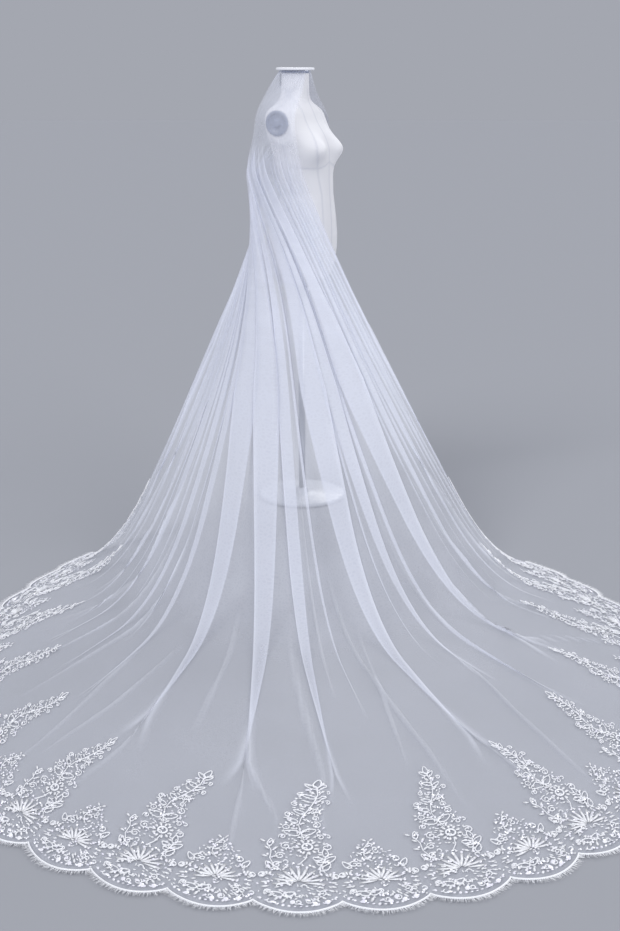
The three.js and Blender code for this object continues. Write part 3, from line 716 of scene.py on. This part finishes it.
def cloth_points(column, down):
    """The finished cloth, folds and creases and all, at a place across its flat width and down."""
    across, proud, _ = laid_cloth(column, down)
    for crease in CREASES:
        proud = proud + crease[5] * crease_at(crease, column, down)
    hanging = smooth((2.7 - down) / 0.9) * smooth((down - FOLDS_START) / 0.5)
    for count, phase, high in WAVES:
        proud = proud + high * hanging * (1 + np.sin(2 * math.pi * count * column + phase + 1.7 * down))
    gathers = smooth(1 - down / GATHER_REACH)
    proud = proud + GATHER_HIGH * gathers * (1 + np.sin(2 * math.pi * GATHERS * column))
    across = np.clip(across, 0, 1)
    points = base_cloth(across, down) + base_normal(across, down) * (proud + CLOTH_CLEAR)[..., None]
    points[..., 2] = np.clip(points[..., 2], FLOOR_CLEAR, TOP)
    return points


def cloth_normals(column, down):
    """Straight out from the finished cloth."""
    step = 0.0006
    left = cloth_points(np.clip(column - step, 0, 1), down)
    right = cloth_points(np.clip(column + step, 0, 1), down)
    above = cloth_points(column, np.maximum(down - 0.004, 0))
    below = cloth_points(column, down + 0.004)
    normal = np.cross(below - above, right - left)
    return normal / np.maximum(np.linalg.norm(normal, axis=-1, keepdims=True), 1e-9)


def down_from_hem(across, distance):
    """How far down a point is that lies a distance from the hem along its strand."""
    parts = strand(np.clip(across, 0, 1))
    return 3 - distance / ((1 - parts[6]) * parts[3])


def scallop(column):
    """How far the scalloped edge stands out beyond its cusps."""
    return SCALLOP_DEPTH * np.abs(np.sin(math.pi * SCALLOPS * column)) ** SCALLOP_ROUND


def lace_share(column):
    """The lace is lower on the short strands at the sides."""
    return np.minimum(1, strand(np.clip(column, 0, 1))[3] * LACE_OF_STRAND / LACE_PEAK)


# Columns of the sheet are closer together in the folds, and rows in the gathers and in the lace
WIDE_FOLD = 0.04
WIDE_FOLD_COLUMNS = 34
FOLD_COLUMNS = 14
GAP_COLUMN = 0.0015
LAST_COLUMNS = 8
FORM_ROWS = 26
TRAIN_ROWS = 42
LACE_ROWS = 12
LACE_ROWS_FROM = 0.50
column_stops = [0.0]
for fold in FOLDS:
    half = FOLD_CLOTH * fold[2] / HEM_LENGTH / 2
    steps = WIDE_FOLD_COLUMNS if fold[2] > WIDE_FOLD else FOLD_COLUMNS
    gap_steps = max(4, round((fold[1] - half - column_stops[-1]) / GAP_COLUMN))
    column_stops.extend(np.linspace(column_stops[-1], fold[1] - half, gap_steps + 1)[1:])
    column_stops.extend(np.linspace(column_stops[-1], fold[1] + half, steps + 1)[1:])
column_stops.extend(np.linspace(column_stops[-1], 1, LAST_COLUMNS)[1:])
column_stops = np.array(column_stops)
row_stops = np.concatenate([np.linspace(0, 1, FORM_ROWS)[:-1], np.linspace(1, 2, FORM_ROWS)[:-1],
                            np.linspace(2, 3, TRAIN_ROWS)])


def sheet_down(column, row):
    """Down at each row of the sheet: the last rows follow the scalloped hem."""
    before = down_from_hem(column, LACE_ROWS_FROM * lace_share(column))
    last = down_from_hem(column, -scallop(column))
    first_lace = len(row_stops) - LACE_ROWS
    lower = np.clip((row - first_lace) / (len(row_stops) - 1 - first_lace), 0, 1)
    upper = np.interp(row, np.arange(first_lace + 1), row_stops[:first_lace + 1] / row_stops[first_lace])
    return np.where(row <= first_lace, fit_rows(upper, before), mix(before, last, lower))


def fit_rows(share, before):
    """Shares of the way down, with the form and the hip at the same rows on every strand."""
    down = share * 3
    return np.where(down <= 2, down, 2 + (down - 2) * (before - 2))


tulle_bm = bmesh.new()
bmesh.ops.create_grid(tulle_bm, x_segments=len(column_stops) - 1, y_segments=len(row_stops) - 1, size=0.5)
sheet_x = np.array([vert.co.x + 0.5 for vert in tulle_bm.verts]) * (len(column_stops) - 1)
sheet_y = (0.5 - np.array([vert.co.y for vert in tulle_bm.verts])) * (len(row_stops) - 1)
sheet_columns = np.interp(sheet_x, np.arange(len(column_stops)), column_stops)
sheet_downs = sheet_down(sheet_columns, np.round(sheet_y))
sheet_points = cloth_points(sheet_columns, sheet_downs)
for vert, point in zip(tulle_bm.verts, sheet_points):
    vert.co = point

# How much of what lies behind it the net covers: more where it is gathered, by a table of down and layers
NET_COVER = 0.24
LAYERS_DOWN = [0.00, 0.75, 1.30, 1.80, 2.15, 2.50, 3.00]
LAYERS = [1.6, 1.1, 2.3, 2.2, 1.5, 1.0, 0.9]
TURN_LAYERS = 1.6
CREASE_LAYERS = 0.8
layers = np.interp(sheet_downs, LAYERS_DOWN, LAYERS)
layers = layers + TURN_LAYERS * laid_cloth(sheet_columns, sheet_downs)[2]
for crease in CREASES:
    layers = layers + CREASE_LAYERS * crease_at(crease, sheet_columns, sheet_downs)
cover = 1 - (1 - NET_COVER) ** layers
cover_layer = tulle_bm.verts.layers.float.new("cover")
cut_layer = tulle_bm.loops.layers.uv.new("cut")
for vert, share in zip(tulle_bm.verts, cover):
    vert[cover_layer] = share
tulle_bm.verts.index_update()
for face in tulle_bm.faces:
    for loop in face.loops:
        at = loop.vert.index
        loop[cut_layer].uv = (sheet_columns[at] * FLAT_WIDTH, sheet_downs[at] / 3 * VEIL_LENGTH)


def tulle():
    """Nylon tulle: a soft net of six-sided holes, 1.5 mm wide on the real one and drawn 6 mm wide, to show.
    The thread is blue-white with a soft sheen, and the net covers more where it is gathered."""
    material, tree, shader = start_material("blue-white nylon tulle")
    flat = add_node(tree, "ShaderNodeUVMap", uv_map="cut")
    holes = add_node(tree, "ShaderNodeTexVoronoi", {
        "Vector": flat.outputs["UV"], "Scale": 1 / 0.006, "Randomness": 0.8,
    }, feature="DISTANCE_TO_EDGE")
    thread = add_node(tree, "ShaderNodeMapRange", {
        "Value": holes.outputs["Distance"], "From Min": 0.0, "From Max": 0.3, "To Min": 1.05, "To Max": 0.97,
    })
    cloud = add_node(tree, "ShaderNodeTexNoise", {
        "Vector": flat.outputs["UV"], "Scale": 4.5, "Detail": 3.0, "Roughness": 0.55,
    })
    patch = add_node(tree, "ShaderNodeMapRange", {
        "Value": cloud.outputs["Fac"], "From Min": 0.3, "From Max": 0.7, "To Min": 0.85, "To Max": 1.15,
    })
    covered = add_node(tree, "ShaderNodeAttribute", attribute_name="cover")
    netted = add_node(tree, "ShaderNodeMath", {
        0: covered.outputs["Fac"], 1: thread.outputs["Result"],
    }, operation="MULTIPLY")
    alpha = add_node(tree, "ShaderNodeMath", {
        0: netted.outputs["Value"], 1: patch.outputs["Result"],
    }, operation="MULTIPLY", use_clamp=True)
    set_inputs(tree, shader, {
        "Base Color": linear_colour("#F1F4FF"),
        "Roughness": 0.7,
        "Specular IOR Level": 0.3,
        "Sheen Weight": 0.6,
        "Sheen Roughness": 0.35,
        "Alpha": alpha.outputs["Value"],
    })
    return material


veil = mesh_object("veil_tulle_sheet", tulle_bm, tulle())
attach(veil, "root")
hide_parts("veil_over_shoulders", "veil_fall", "veil_train", "veil_hem")

# Veil, lace border
# Corded lace, cut out round its flowers and sewn on the tulle along the hem, a tall and a low motif by turns.
# White cord outlines the open leaves, rings and curls, satin stitch fills the petals and leaves, and sequins
# lie between.
PITCH = HEM_LENGTH / SCALLOPS
LACE_CLEAR = 0.0010
# The motifs sway to either side toward their tips, by up to SWAY, and differ from scallop to scallop
SWAY = 0.010
SWAY_TURN = 2.4


def corded_thread():
    """Rayon lace cord: bright blue-white, with a low silky gloss and a twist every 3 mm."""
    material, tree, shader = start_material("rayon lace cord")
    place = add_node(tree, "ShaderNodeTexCoord")
    twist = add_node(tree, "ShaderNodeTexWave", {
        "Vector": place.outputs["Object"], "Scale": 105, "Distortion": 1.5, "Detail": 1.0,
    }, bands_direction="DIAGONAL")
    bump = add_node(tree, "ShaderNodeBump", {
        "Height": twist.outputs["Fac"], "Strength": 0.4, "Distance": 0.0006,
    })
    set_inputs(tree, shader, {
        "Base Color": linear_colour("#FAFBFF"),
        "Roughness": 0.45,
        "Sheen Weight": 0.3,
        "Normal": bump.outputs["Normal"],
    })
    return material


def satin_stitch():
    """Satin stitch in rayon thread: close threads with a silky gloss, drawn 2.4 mm wide, to show."""
    material, tree, shader = start_material("rayon satin stitch")
    place = add_node(tree, "ShaderNodeTexCoord")
    rows = add_node(tree, "ShaderNodeTexNoise", {
        "Vector": place.outputs["Object"], "Scale": 420, "Detail": 2.0,
    })
    tone = add_node(tree, "ShaderNodeMix", {
        "Factor": rows.outputs["Fac"], "A": linear_colour("#F2F4FC"), "B": linear_colour("#FFFFFF"),
    }, data_type="RGBA")
    bump = add_node(tree, "ShaderNodeBump", {
        "Height": rows.outputs["Fac"], "Strength": 0.5, "Distance": 0.0006,
    })
    set_inputs(tree, shader, {
        "Base Color": tone.outputs["Result"],
        "Roughness": 0.4,
        "Sheen Weight": 0.4,
        "Normal": bump.outputs["Normal"],
    })
    return material


def sequin_film():
    """Punched polyester film: clear-white and glossy, with a thin pearl coat that tints its highlights."""
    material, tree, shader = start_material("pearl sequin film")
    place = add_node(tree, "ShaderNodeTexCoord")
    tint = add_node(tree, "ShaderNodeTexNoise", {
        "Vector": place.outputs["Object"], "Scale": 55, "Detail": 0.0,
    })
    tone = add_node(tree, "ShaderNodeMix", {
        "Factor": tint.outputs["Fac"], "A": linear_colour("#F3F0FF"), "B": linear_colour("#FFFFFF"),
    }, data_type="RGBA")
    set_inputs(tree, shader, {
        "Base Color": tone.outputs["Result"],
        "Roughness": 0.16,
        "Coat Weight": 1.0,
        "Coat Roughness": 0.08,
        "Thin Film Thickness": 380.0,
        "Thin Film IOR": 1.45,
    })
    return material


def to_hem(column, distance):
    """Down at a distance from the hem, with the lace's height scaled to the strand."""
    return down_from_hem(column, distance * lace_share(column))


def sew_on(name, charts, material):
    """Lays the flat charts of a tall and a low motif on the cloth along the hem, by turns. Chart x runs
    across the scallop from its middle, y away from the hem, and z up from the cloth."""
    bm = bmesh.new()
    scallop_of = []
    for number in range(SCALLOPS):
        bm.from_mesh(charts[number % 2])
        scallop_of.extend([number] * len(charts[number % 2].vertices))
    flat = np.array([vert.co for vert in bm.verts])
    scallop_of = np.array(scallop_of)
    sway = SWAY * np.sin(scallop_of * SWAY_TURN) * np.clip(flat[:, 1] / LACE_PEAK, 0, 1)
    column = np.clip((scallop_of + 0.5 + (flat[:, 0] + sway) / PITCH) / SCALLOPS, 0.0005, 0.9995)
    down = to_hem(column, flat[:, 1])
    points = cloth_points(column, down)
    points = points + cloth_normals(column, down) * (flat[:, 2] + LACE_CLEAR)[:, None]
    points[:, 2] = np.maximum(points[:, 2], FLOOR_CLEAR + LACE_CLEAR)
    for vert, point in zip(bm.verts, points):
        vert.co = point
    for chart in charts:
        bpy.data.meshes.remove(chart)
    return mesh_object(name, bm, material)


def edge_line(x, inside):
    """Chart point on the line that follows the scalloped edge, a distance inside it."""
    return x, -SCALLOP_DEPTH * max(math.cos(math.pi * x / PITCH), 0) ** SCALLOP_ROUND + inside


def arc(centre, radius, start, stop, steps):
    """Chart points round an arc, by degrees from straight away from the hem."""
    turns = [math.radians(mix(start, stop, step / steps)) for step in range(steps + 1)]
    return [(centre[0] + radius * math.sin(t), centre[1] + radius * math.cos(t)) for t in turns]


def loop_leaf(root, angle, length, wide):
    """Chart points round an open leaf that starts and ends at its root."""
    points = []
    for step in range(13):
        t = 2 * math.pi * step / 12
        away = length * (1 - math.cos(t)) / 2
        side = wide / 2 * math.sin(t) * (0.75 + 0.25 * math.cos(t))
        points.append(turned_by(root, angle, side, away))
    return points


def turned_by(root, angle, side, away):
    """The chart point that lies aside of a root and away from it, in a direction."""
    sine, cosine = math.sin(math.radians(angle)), math.cos(math.radians(angle))
    return root[0] + away * sine + side * cosine, root[1] + away * cosine - side * sine


def curl(root, angle, size, turns, hand):
    """Chart points of a tendril that winds in on itself."""
    points = []
    for step in range(12):
        t = step / 11
        radius = size * (1 - 0.75 * t)
        centre = turned_by(root, angle, hand * size, size * 0.6)
        around = math.radians(angle) - hand * math.pi / 2 + hand * 2 * math.pi * turns * t
        points.append((centre[0] + radius * math.sin(around), centre[1] + radius * math.cos(around)))
    return points


# The tall motif has flowers, open leaves and a spray over its fan, the low one between them has a short twig
FAN = (0.004, 0.066)
RIM = 0.058
FLOWER = (0.026, 0.196)
SMALL_FLOWER = (-0.024, 0.274)
TIP_FLOWER = (0.052, 0.340)
LEFT_STEM = [(-0.034, 0.106), (-0.050, 0.124), (-0.060, 0.150), (-0.058, 0.178), (-0.068, 0.206)]
RIGHT_STEM = [(0.046, 0.110), (0.058, 0.132), (0.066, 0.158)]
FLOWER_STEM = [(0.006, 0.130), (0.020, 0.150), (0.026, 0.174)]
UPPER_STEM = [(0.020, 0.222), (0.012, 0.250), (0.008, 0.282), (0.016, 0.312), (0.032, 0.340), (0.046, 0.372),
              (0.054, 0.408), (0.052, 0.444)]
LOW_STEM = [(-0.004, 0.134), (-0.016, 0.156), (-0.012, 0.182), (0.004, 0.204)]
# Open leaves, mostly in pairs on one root: root, direction, length and width
LOW_LOOPS = [
    ((-0.030, 0.016), -66, 0.028, 0.019), ((-0.028, 0.016), 62, 0.026, 0.018),
    ((-0.054, 0.112), -30, 0.028, 0.017), ((0.058, 0.108), 34, 0.028, 0.017),
]
TALL_LOOPS = [
    ((0.010, 0.246), -78, 0.040, 0.027), ((0.014, 0.246), 66, 0.040, 0.027),
    ((0.062, 0.138), -56, 0.030, 0.020), ((0.064, 0.138), 52, 0.030, 0.020),
    ((0.066, 0.156), 0, 0.032, 0.018), ((-0.064, 0.196), 10, 0.028, 0.016),
    ((0.006, 0.294), -64, 0.030, 0.017), ((0.024, 0.328), -56, 0.028, 0.016),
    ((0.050, 0.384), 58, 0.026, 0.015), ((0.050, 0.394), -56, 0.028, 0.016),
    ((0.052, 0.430), 44, 0.026, 0.015), ((0.052, 0.436), -40, 0.028, 0.015),
    ((0.052, 0.442), 4, 0.034, 0.018),
]
LOW_CURLS = [
    ((-0.030, 0.128), -40, 0.012, 1.2, -1), ((0.036, 0.136), 40, 0.012, 1.2, 1),
    ((-0.064, 0.092), -60, 0.010, 1.1, -1), ((0.070, 0.088), 60, 0.010, 1.1, 1),
    ((0.022, 0.010), 120, 0.009, 1.2, 1), ((-0.006, 0.004), 200, 0.009, 1.2, -1),
    ((0.046, 0.018), 80, 0.009, 1.2, -1), ((-0.056, 0.020), -80, 0.009, 1.2, 1),
]
TALL_CURLS = [
    ((-0.022, 0.160), -30, 0.013, 1.3, -1), ((0.056, 0.200), 60, 0.014, 1.3, 1),
    ((-0.010, 0.206), -60, 0.014, 1.3, -1), ((-0.040, 0.226), -20, 0.010, 1.2, 1),
    ((0.048, 0.232), 30, 0.010, 1.2, 1), ((0.040, 0.292), 70, 0.014, 1.3, 1),
    ((0.058, 0.300), 20, 0.010, 1.2, -1), ((-0.008, 0.328), -50, 0.010, 1.2, -1),
    ((0.018, 0.372), -60, 0.009, 1.2, -1), ((0.068, 0.376), 40, 0.009, 1.2, 1),
    ((0.034, 0.414), -60, 0.008, 1.1, -1), ((0.068, 0.420), 50, 0.008, 1.1, 1),
]
STREWN_LOWEST = 0.004
strewn = np.random.default_rng(7)


def strewn_place(tall):
    """A place in a motif's outline, wide near the edge and narrow at the peak, more often low."""
    height, places, reaches = (
        (0.440, [0.0, 0.10, 0.20, 0.30, 0.40, 0.46], [0.085, 0.080, 0.068, 0.050, 0.026, 0.008]) if tall else
        (0.205, [0.0, 0.08, 0.14, 0.20, 0.22], [0.085, 0.082, 0.058, 0.020, 0.006]))
    y = STREWN_LOWEST + (height - STREWN_LOWEST) * strewn.uniform() ** 1.3
    reach = np.interp(y, places, reaches)
    lean = np.interp(y, [0.10, 0.20, 0.30, 0.46], [0, 0.008, 0.018, 0.052]) if tall else 0
    return lean + strewn.uniform(-reach, reach), y


CORD_RADIUS = 0.0015


def cord_mesh(paths, radius, roundness):
    """Round cord along each path of points, as one mesh."""
    curve = bpy.data.curves.new("cord_line", "CURVE")
    curve.dimensions = "3D"
    curve.bevel_depth = radius
    curve.bevel_resolution = roundness
    curve.use_fill_caps = True
    for path in paths:
        spline = curve.splines.new("POLY")
        spline.points.add(len(path) - 1)
        for point, place in zip(spline.points, path):
            point.co = (*place, 1)
    line = bpy.data.objects.new("cord_line", curve)
    bpy.context.scene.collection.objects.link(line)
    evaluated = line.evaluated_get(bpy.context.evaluated_depsgraph_get())
    mesh = bpy.data.meshes.new_from_object(evaluated)
    bpy.data.objects.remove(line)
    bpy.data.curves.remove(curve)
    return mesh


def cord_chart(tall):
    """Flat cord of one motif: rings, stems, open leaves and curls."""
    paths = []
    for root, angle, length, wide in LOW_LOOPS + (TALL_LOOPS if tall else []):
        paths.append(loop_leaf(root, angle, length, wide))
    for root, angle, size, turns, hand in LOW_CURLS + (TALL_CURLS if tall else []):
        paths.append(curl(root, angle, size, turns, hand))
    if tall:
        paths.extend([LEFT_STEM, RIGHT_STEM, FLOWER_STEM, UPPER_STEM])
        for radius in (0.0130, 0.0108):
            paths.append(arc(FLOWER, radius, 0, 360, 14))
        paths.append(arc(SMALL_FLOWER, 0.0085, 0, 360, 10))
        paths.append(arc(TIP_FLOWER, 0.0075, 0, 360, 10))
    else:
        paths.append(LOW_STEM)
    for _ in range(16 if tall else 10):
        x, y = strewn_place(tall)
        paths.append(curl((x, y), strewn.uniform(0, 360), 0.007, 1.0, strewn.choice([-1, 1]))[:8])
    return cord_mesh([[(x, y, CORD_RADIUS) for x, y in path] for path in paths], CORD_RADIUS, 0)


lace_cord = sew_on("lace_cord", (cord_chart(True), cord_chart(False)), corded_thread())

PETAL_THICK = 0.0012


def spray(centre, count, start, stop, away, length, wide):
    """Petals round a centre: root, direction, length and width of each."""
    angles = [mix(start, stop, step / max(count - 1, 1)) for step in range(count)]
    return [(turned_by(centre, angle, 0, away), angle, length, wide) for angle in angles]


def petal_chart(tall):
    """Flat petals and leaves of one motif, and the short stitches strewn between them."""
    petals = spray(FAN, 11, -98, 98, 0.006, 0.054 if tall else 0.046, 0.0072)
    petals += spray(FAN, 6, -70, 70, 0.003, 0.028, 0.0066)
    petals += spray(FAN, 6, 206, 268, RIM + 0.004, 0.020, 0.0064)
    petals += spray(FAN, 6, 92, 150, RIM + 0.004, 0.018, 0.0058)
    petals += spray(FAN, 9, 112, 248, RIM - 0.016, 0.013, 0.0048)
    petals += spray((-0.062, 0.084), 4, -80, 20, 0.004, 0.017, 0.0062)
    petals += spray((0.068, 0.080), 4, -20, 80, 0.004, 0.017, 0.0062)
    stems = [(LOW_STEM, 0.015)]
    if tall:
        petals += spray(FLOWER, 11, 8, 335, 0.0155, 0.0150, 0.0080)
        petals += spray(SMALL_FLOWER, 7, 0, 309, 0.0105, 0.0120, 0.0064)
        petals += spray(TIP_FLOWER, 6, 14, 314, 0.0095, 0.0100, 0.0058)
        stems = [(LEFT_STEM, 0.019), (RIGHT_STEM, 0.017), (UPPER_STEM, 0.016)]
    for stem, leaf in stems:
        for number, (x, y) in enumerate(stem):
            for side in (-1, 1):
                angle = side * (46 + 12 * (number % 3))
                petals.append(((x + 0.003 * side, y + 0.006), angle, leaf, 0.0064))
    for _ in range(150 if tall else 96):
        petals.append((strewn_place(tall), strewn.uniform(0, 360), strewn.uniform(0.007, 0.013),
                       strewn.uniform(0.003, 0.005)))
    bm = bmesh.new()
    for root, angle, length, wide in petals:
        made = bmesh.ops.create_icosphere(bm, subdivisions=1, radius=0.5)
        for vert in made["verts"]:
            away = vert.co.y + 0.5
            x, y = turned_by(root, angle, vert.co.x * wide * (0.65 + 0.9 * away), away * length)
            vert.co = (x, y, PETAL_THICK * (vert.co.z + 0.5))
    chart = bpy.data.meshes.new("petal_chart")
    bm.to_mesh(chart)
    bm.free()
    return chart


lace_petals = sew_on("lace_petals", (petal_chart(True), petal_chart(False)), satin_stitch())

# Sequins: in rows along the edge and round the fan, strewn between the leaves, and a few large ones
SEQUIN_RADIUS = 0.0033
SEQUIN_THICK = 0.0007
SEQUIN_TILT = 0.35
LARGE_SEQUINS = [(-0.046, 0.020), (-0.010, 0.030), (0.006, 0.024), (0.020, 0.036), (0.034, 0.020),
                 (0.058, 0.016)]


def sequin_chart(tall):
    """Flat sequins of one motif, each a little tilted."""
    places = [(*edge_line(mix(-0.074, 0.074, step / 13), 0.017), 1) for step in range(14)]
    places += [(*edge_line(x, inside), 1.75) for x, inside in LARGE_SEQUINS]
    places += [(*turned_by(FAN, mix(-92, 92, step / 8), 0, 0.064), 1) for step in range(9)]
    if tall:
        places += [(*centre, 1) for centre in (SMALL_FLOWER, TIP_FLOWER)]
        places += [(x + 0.005, y + 0.003, 1) for x, y in (*UPPER_STEM, *LEFT_STEM, *RIGHT_STEM)]
    while len(places) < (150 if tall else 105):
        places.append((*strewn_place(tall), 1))
    bm = bmesh.new()
    for x, y, scale in places:
        tilt = Matrix.Rotation(strewn.uniform(-SEQUIN_TILT, SEQUIN_TILT), 4, "X")
        tilt = tilt @ Matrix.Rotation(strewn.uniform(-SEQUIN_TILT, SEQUIN_TILT), 4, "Y")
        bmesh.ops.create_cone(bm, cap_ends=True, segments=6, radius1=SEQUIN_RADIUS * scale,
                              radius2=SEQUIN_RADIUS * scale * 0.55, depth=SEQUIN_THICK,
                              matrix=Matrix.Translation((x, y, 0.0014 + 0.0008 * scale)) @ tilt)
    chart = bpy.data.meshes.new("sequin_chart")
    bm.to_mesh(chart)
    bm.free()
    return chart


lace_sequins = sew_on("lace_sequins", (sequin_chart(True), sequin_chart(False)), sequin_film())
for polygon in lace_sequins.data.polygons:
    polygon.use_smooth = False
for piece in (lace_cord, lace_petals, lace_sequins):
    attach(piece, "root")
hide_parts("lace_border")

# Veil, hem
# A white cord is sewn along the scallops. The lace's eyelash threads stand out beyond it in small tufts.
HEM_CORD_RADIUS = 0.0022
SCALLOP_STEPS = 24
hem_columns = np.linspace(0, 1, SCALLOPS * SCALLOP_STEPS + 1)
hem_downs = down_from_hem(hem_columns, -scallop(hem_columns))
hem_line = cloth_points(hem_columns, hem_downs)
hem_inside = cloth_points(hem_columns, down_from_hem(hem_columns, 0.04 - scallop(hem_columns)))
hem_out = hem_line - hem_inside
hem_out[:, 2] = 0
hem_out /= np.linalg.norm(hem_out, axis=1, keepdims=True)
hem_along = np.gradient(hem_line, axis=0)
hem_along /= np.linalg.norm(hem_along, axis=1, keepdims=True)
hem_square = np.stack([-hem_along[:, 1], hem_along[:, 0], np.zeros(len(hem_along))], axis=1)
hem_square *= np.sign((hem_square * hem_out).sum(axis=1))[:, None]
hem_cord_line = hem_line + (hem_square + np.array([0, 0, 1])) * HEM_CORD_RADIUS
hem_cord_mesh = cord_mesh([hem_cord_line], HEM_CORD_RADIUS, 1)
hem_bm = bmesh.new()
hem_bm.from_mesh(hem_cord_mesh)
bpy.data.meshes.remove(hem_cord_mesh)
hem_cord = mesh_object("hem_cord", hem_bm, lace_cord.data.materials[0])

LASHES = 3600
LASHES_IN_TUFT = 9
LASH_LENGTH = 0.017
LASH_RADIUS = 0.0006
LASH_SWAY = 22
LASH_LOWEST = 0.0004
lash_bm = bmesh.new()
lash_random = np.random.default_rng(11)
for number in range(LASHES):
    at = (number + 0.5) / LASHES
    place = np.array([np.interp(at, hem_columns, hem_line[:, axis]) for axis in range(3)])
    out = np.array([np.interp(at, hem_columns, hem_square[:, axis]) for axis in range(3)])
    tuft = abs(math.sin(math.pi * number / LASHES_IN_TUFT))
    length = LASH_LENGTH * (0.5 + 0.5 * tuft) * lash_random.uniform(0.8, 1.1)
    sway = math.radians(lash_random.uniform(-LASH_SWAY, LASH_SWAY))
    heading = Vector((out[0] * math.cos(sway) - out[1] * math.sin(sway),
                      out[0] * math.sin(sway) + out[1] * math.cos(sway), lash_random.uniform(-0.02, 0.05)))
    middle = Vector(place) + Vector((0, 0, HEM_CORD_RADIUS)) + heading * (length / 2 + HEM_CORD_RADIUS)
    turn = Vector((0, 0, 1)).rotation_difference(heading).to_matrix().to_4x4()
    bmesh.ops.create_cone(lash_bm, cap_ends=True, segments=3, radius1=LASH_RADIUS, radius2=LASH_RADIUS * 0.4,
                          depth=length, matrix=Matrix.Translation(middle) @ turn)
for vert in lash_bm.verts:
    vert.co.z = max(vert.co.z, LASH_LOWEST)
lashes = mesh_object("hem_eyelash", lash_bm, lace_cord.data.materials[0])
for piece in (hem_cord, lashes):
    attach(piece, "root")
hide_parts("hem_cord_eyelash")

# Veil, binding
# The gathers end in a narrow strip of satin, folded over their raw edge and puckered a little by the stitches
# that hold it.
BINDING_ARC = (14, 336)
BINDING_SIDES = 33
BINDING_RINGS = 420
PUCKERS = 58
PUCKER_DEEP = 0.0005
BINDING_SECTION = [(0.0385, 0.0003), (0.0655, 0.0003), (0.0668, 0.0012), (0.0670, 0.0040), (0.0660, 0.0072),
                   (0.0636, 0.0088), (0.0530, 0.0093), (0.0400, 0.0088), (0.0377, 0.0070), (0.0370, 0.0040),
                   (0.0374, 0.0012)]


def satin():
    """Polyester satin: smooth and white, with a soft gloss. Its weave is drawn 1.7 mm wide, to show."""
    material, tree, shader = start_material("white polyester satin")
    place = add_node(tree, "ShaderNodeTexCoord")
    weave = add_node(tree, "ShaderNodeTexNoise", {
        "Vector": place.outputs["Object"], "Scale": 600, "Detail": 1.0,
    })
    bump = add_node(tree, "ShaderNodeBump", {
        "Height": weave.outputs["Fac"], "Strength": 0.15, "Distance": 0.0003,
    })
    set_inputs(tree, shader, {
        "Base Color": linear_colour("#F4F5FB"),
        "Roughness": 0.35,
        "Sheen Weight": 0.5,
        "Normal": bump.outputs["Normal"],
    })
    return material


def binding_place(across, along):
    """The binding's skin: round its section, and along its arc, with small puckers."""
    section_at = across * len(BINDING_SECTION)
    ring = [*BINDING_SECTION, BINDING_SECTION[0]]
    radius = np.interp(section_at, np.arange(len(ring)), [point[0] for point in ring])
    up = np.interp(section_at, np.arange(len(ring)), [point[1] for point in ring])
    pucker = PUCKER_DEEP * np.sin(along * 2 * math.pi * PUCKERS) * np.clip((up - 0.002) / 0.004, 0, 1)
    angle = np.radians(mix(BINDING_ARC[0], BINDING_ARC[1], along))
    reach = radius - pucker
    return form_point(NECK_AHEAD + reach * np.cos(angle), -reach * np.sin(angle), TOP + up - pucker)


binding_bm = wrap_grid(BINDING_SIDES, BINDING_RINGS, binding_place)
close_ends(binding_bm)
binding = mesh_object("satin_binding", binding_bm, satin())
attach(binding, "root")
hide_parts("gather_binding")

# Veil, comb
# A plain steel hair comb that the binding is sewn to, flat against the back of the neck.
comb_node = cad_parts["comb"]
comb_node.data.materials.clear()
comb_node.data.materials.append(steel)
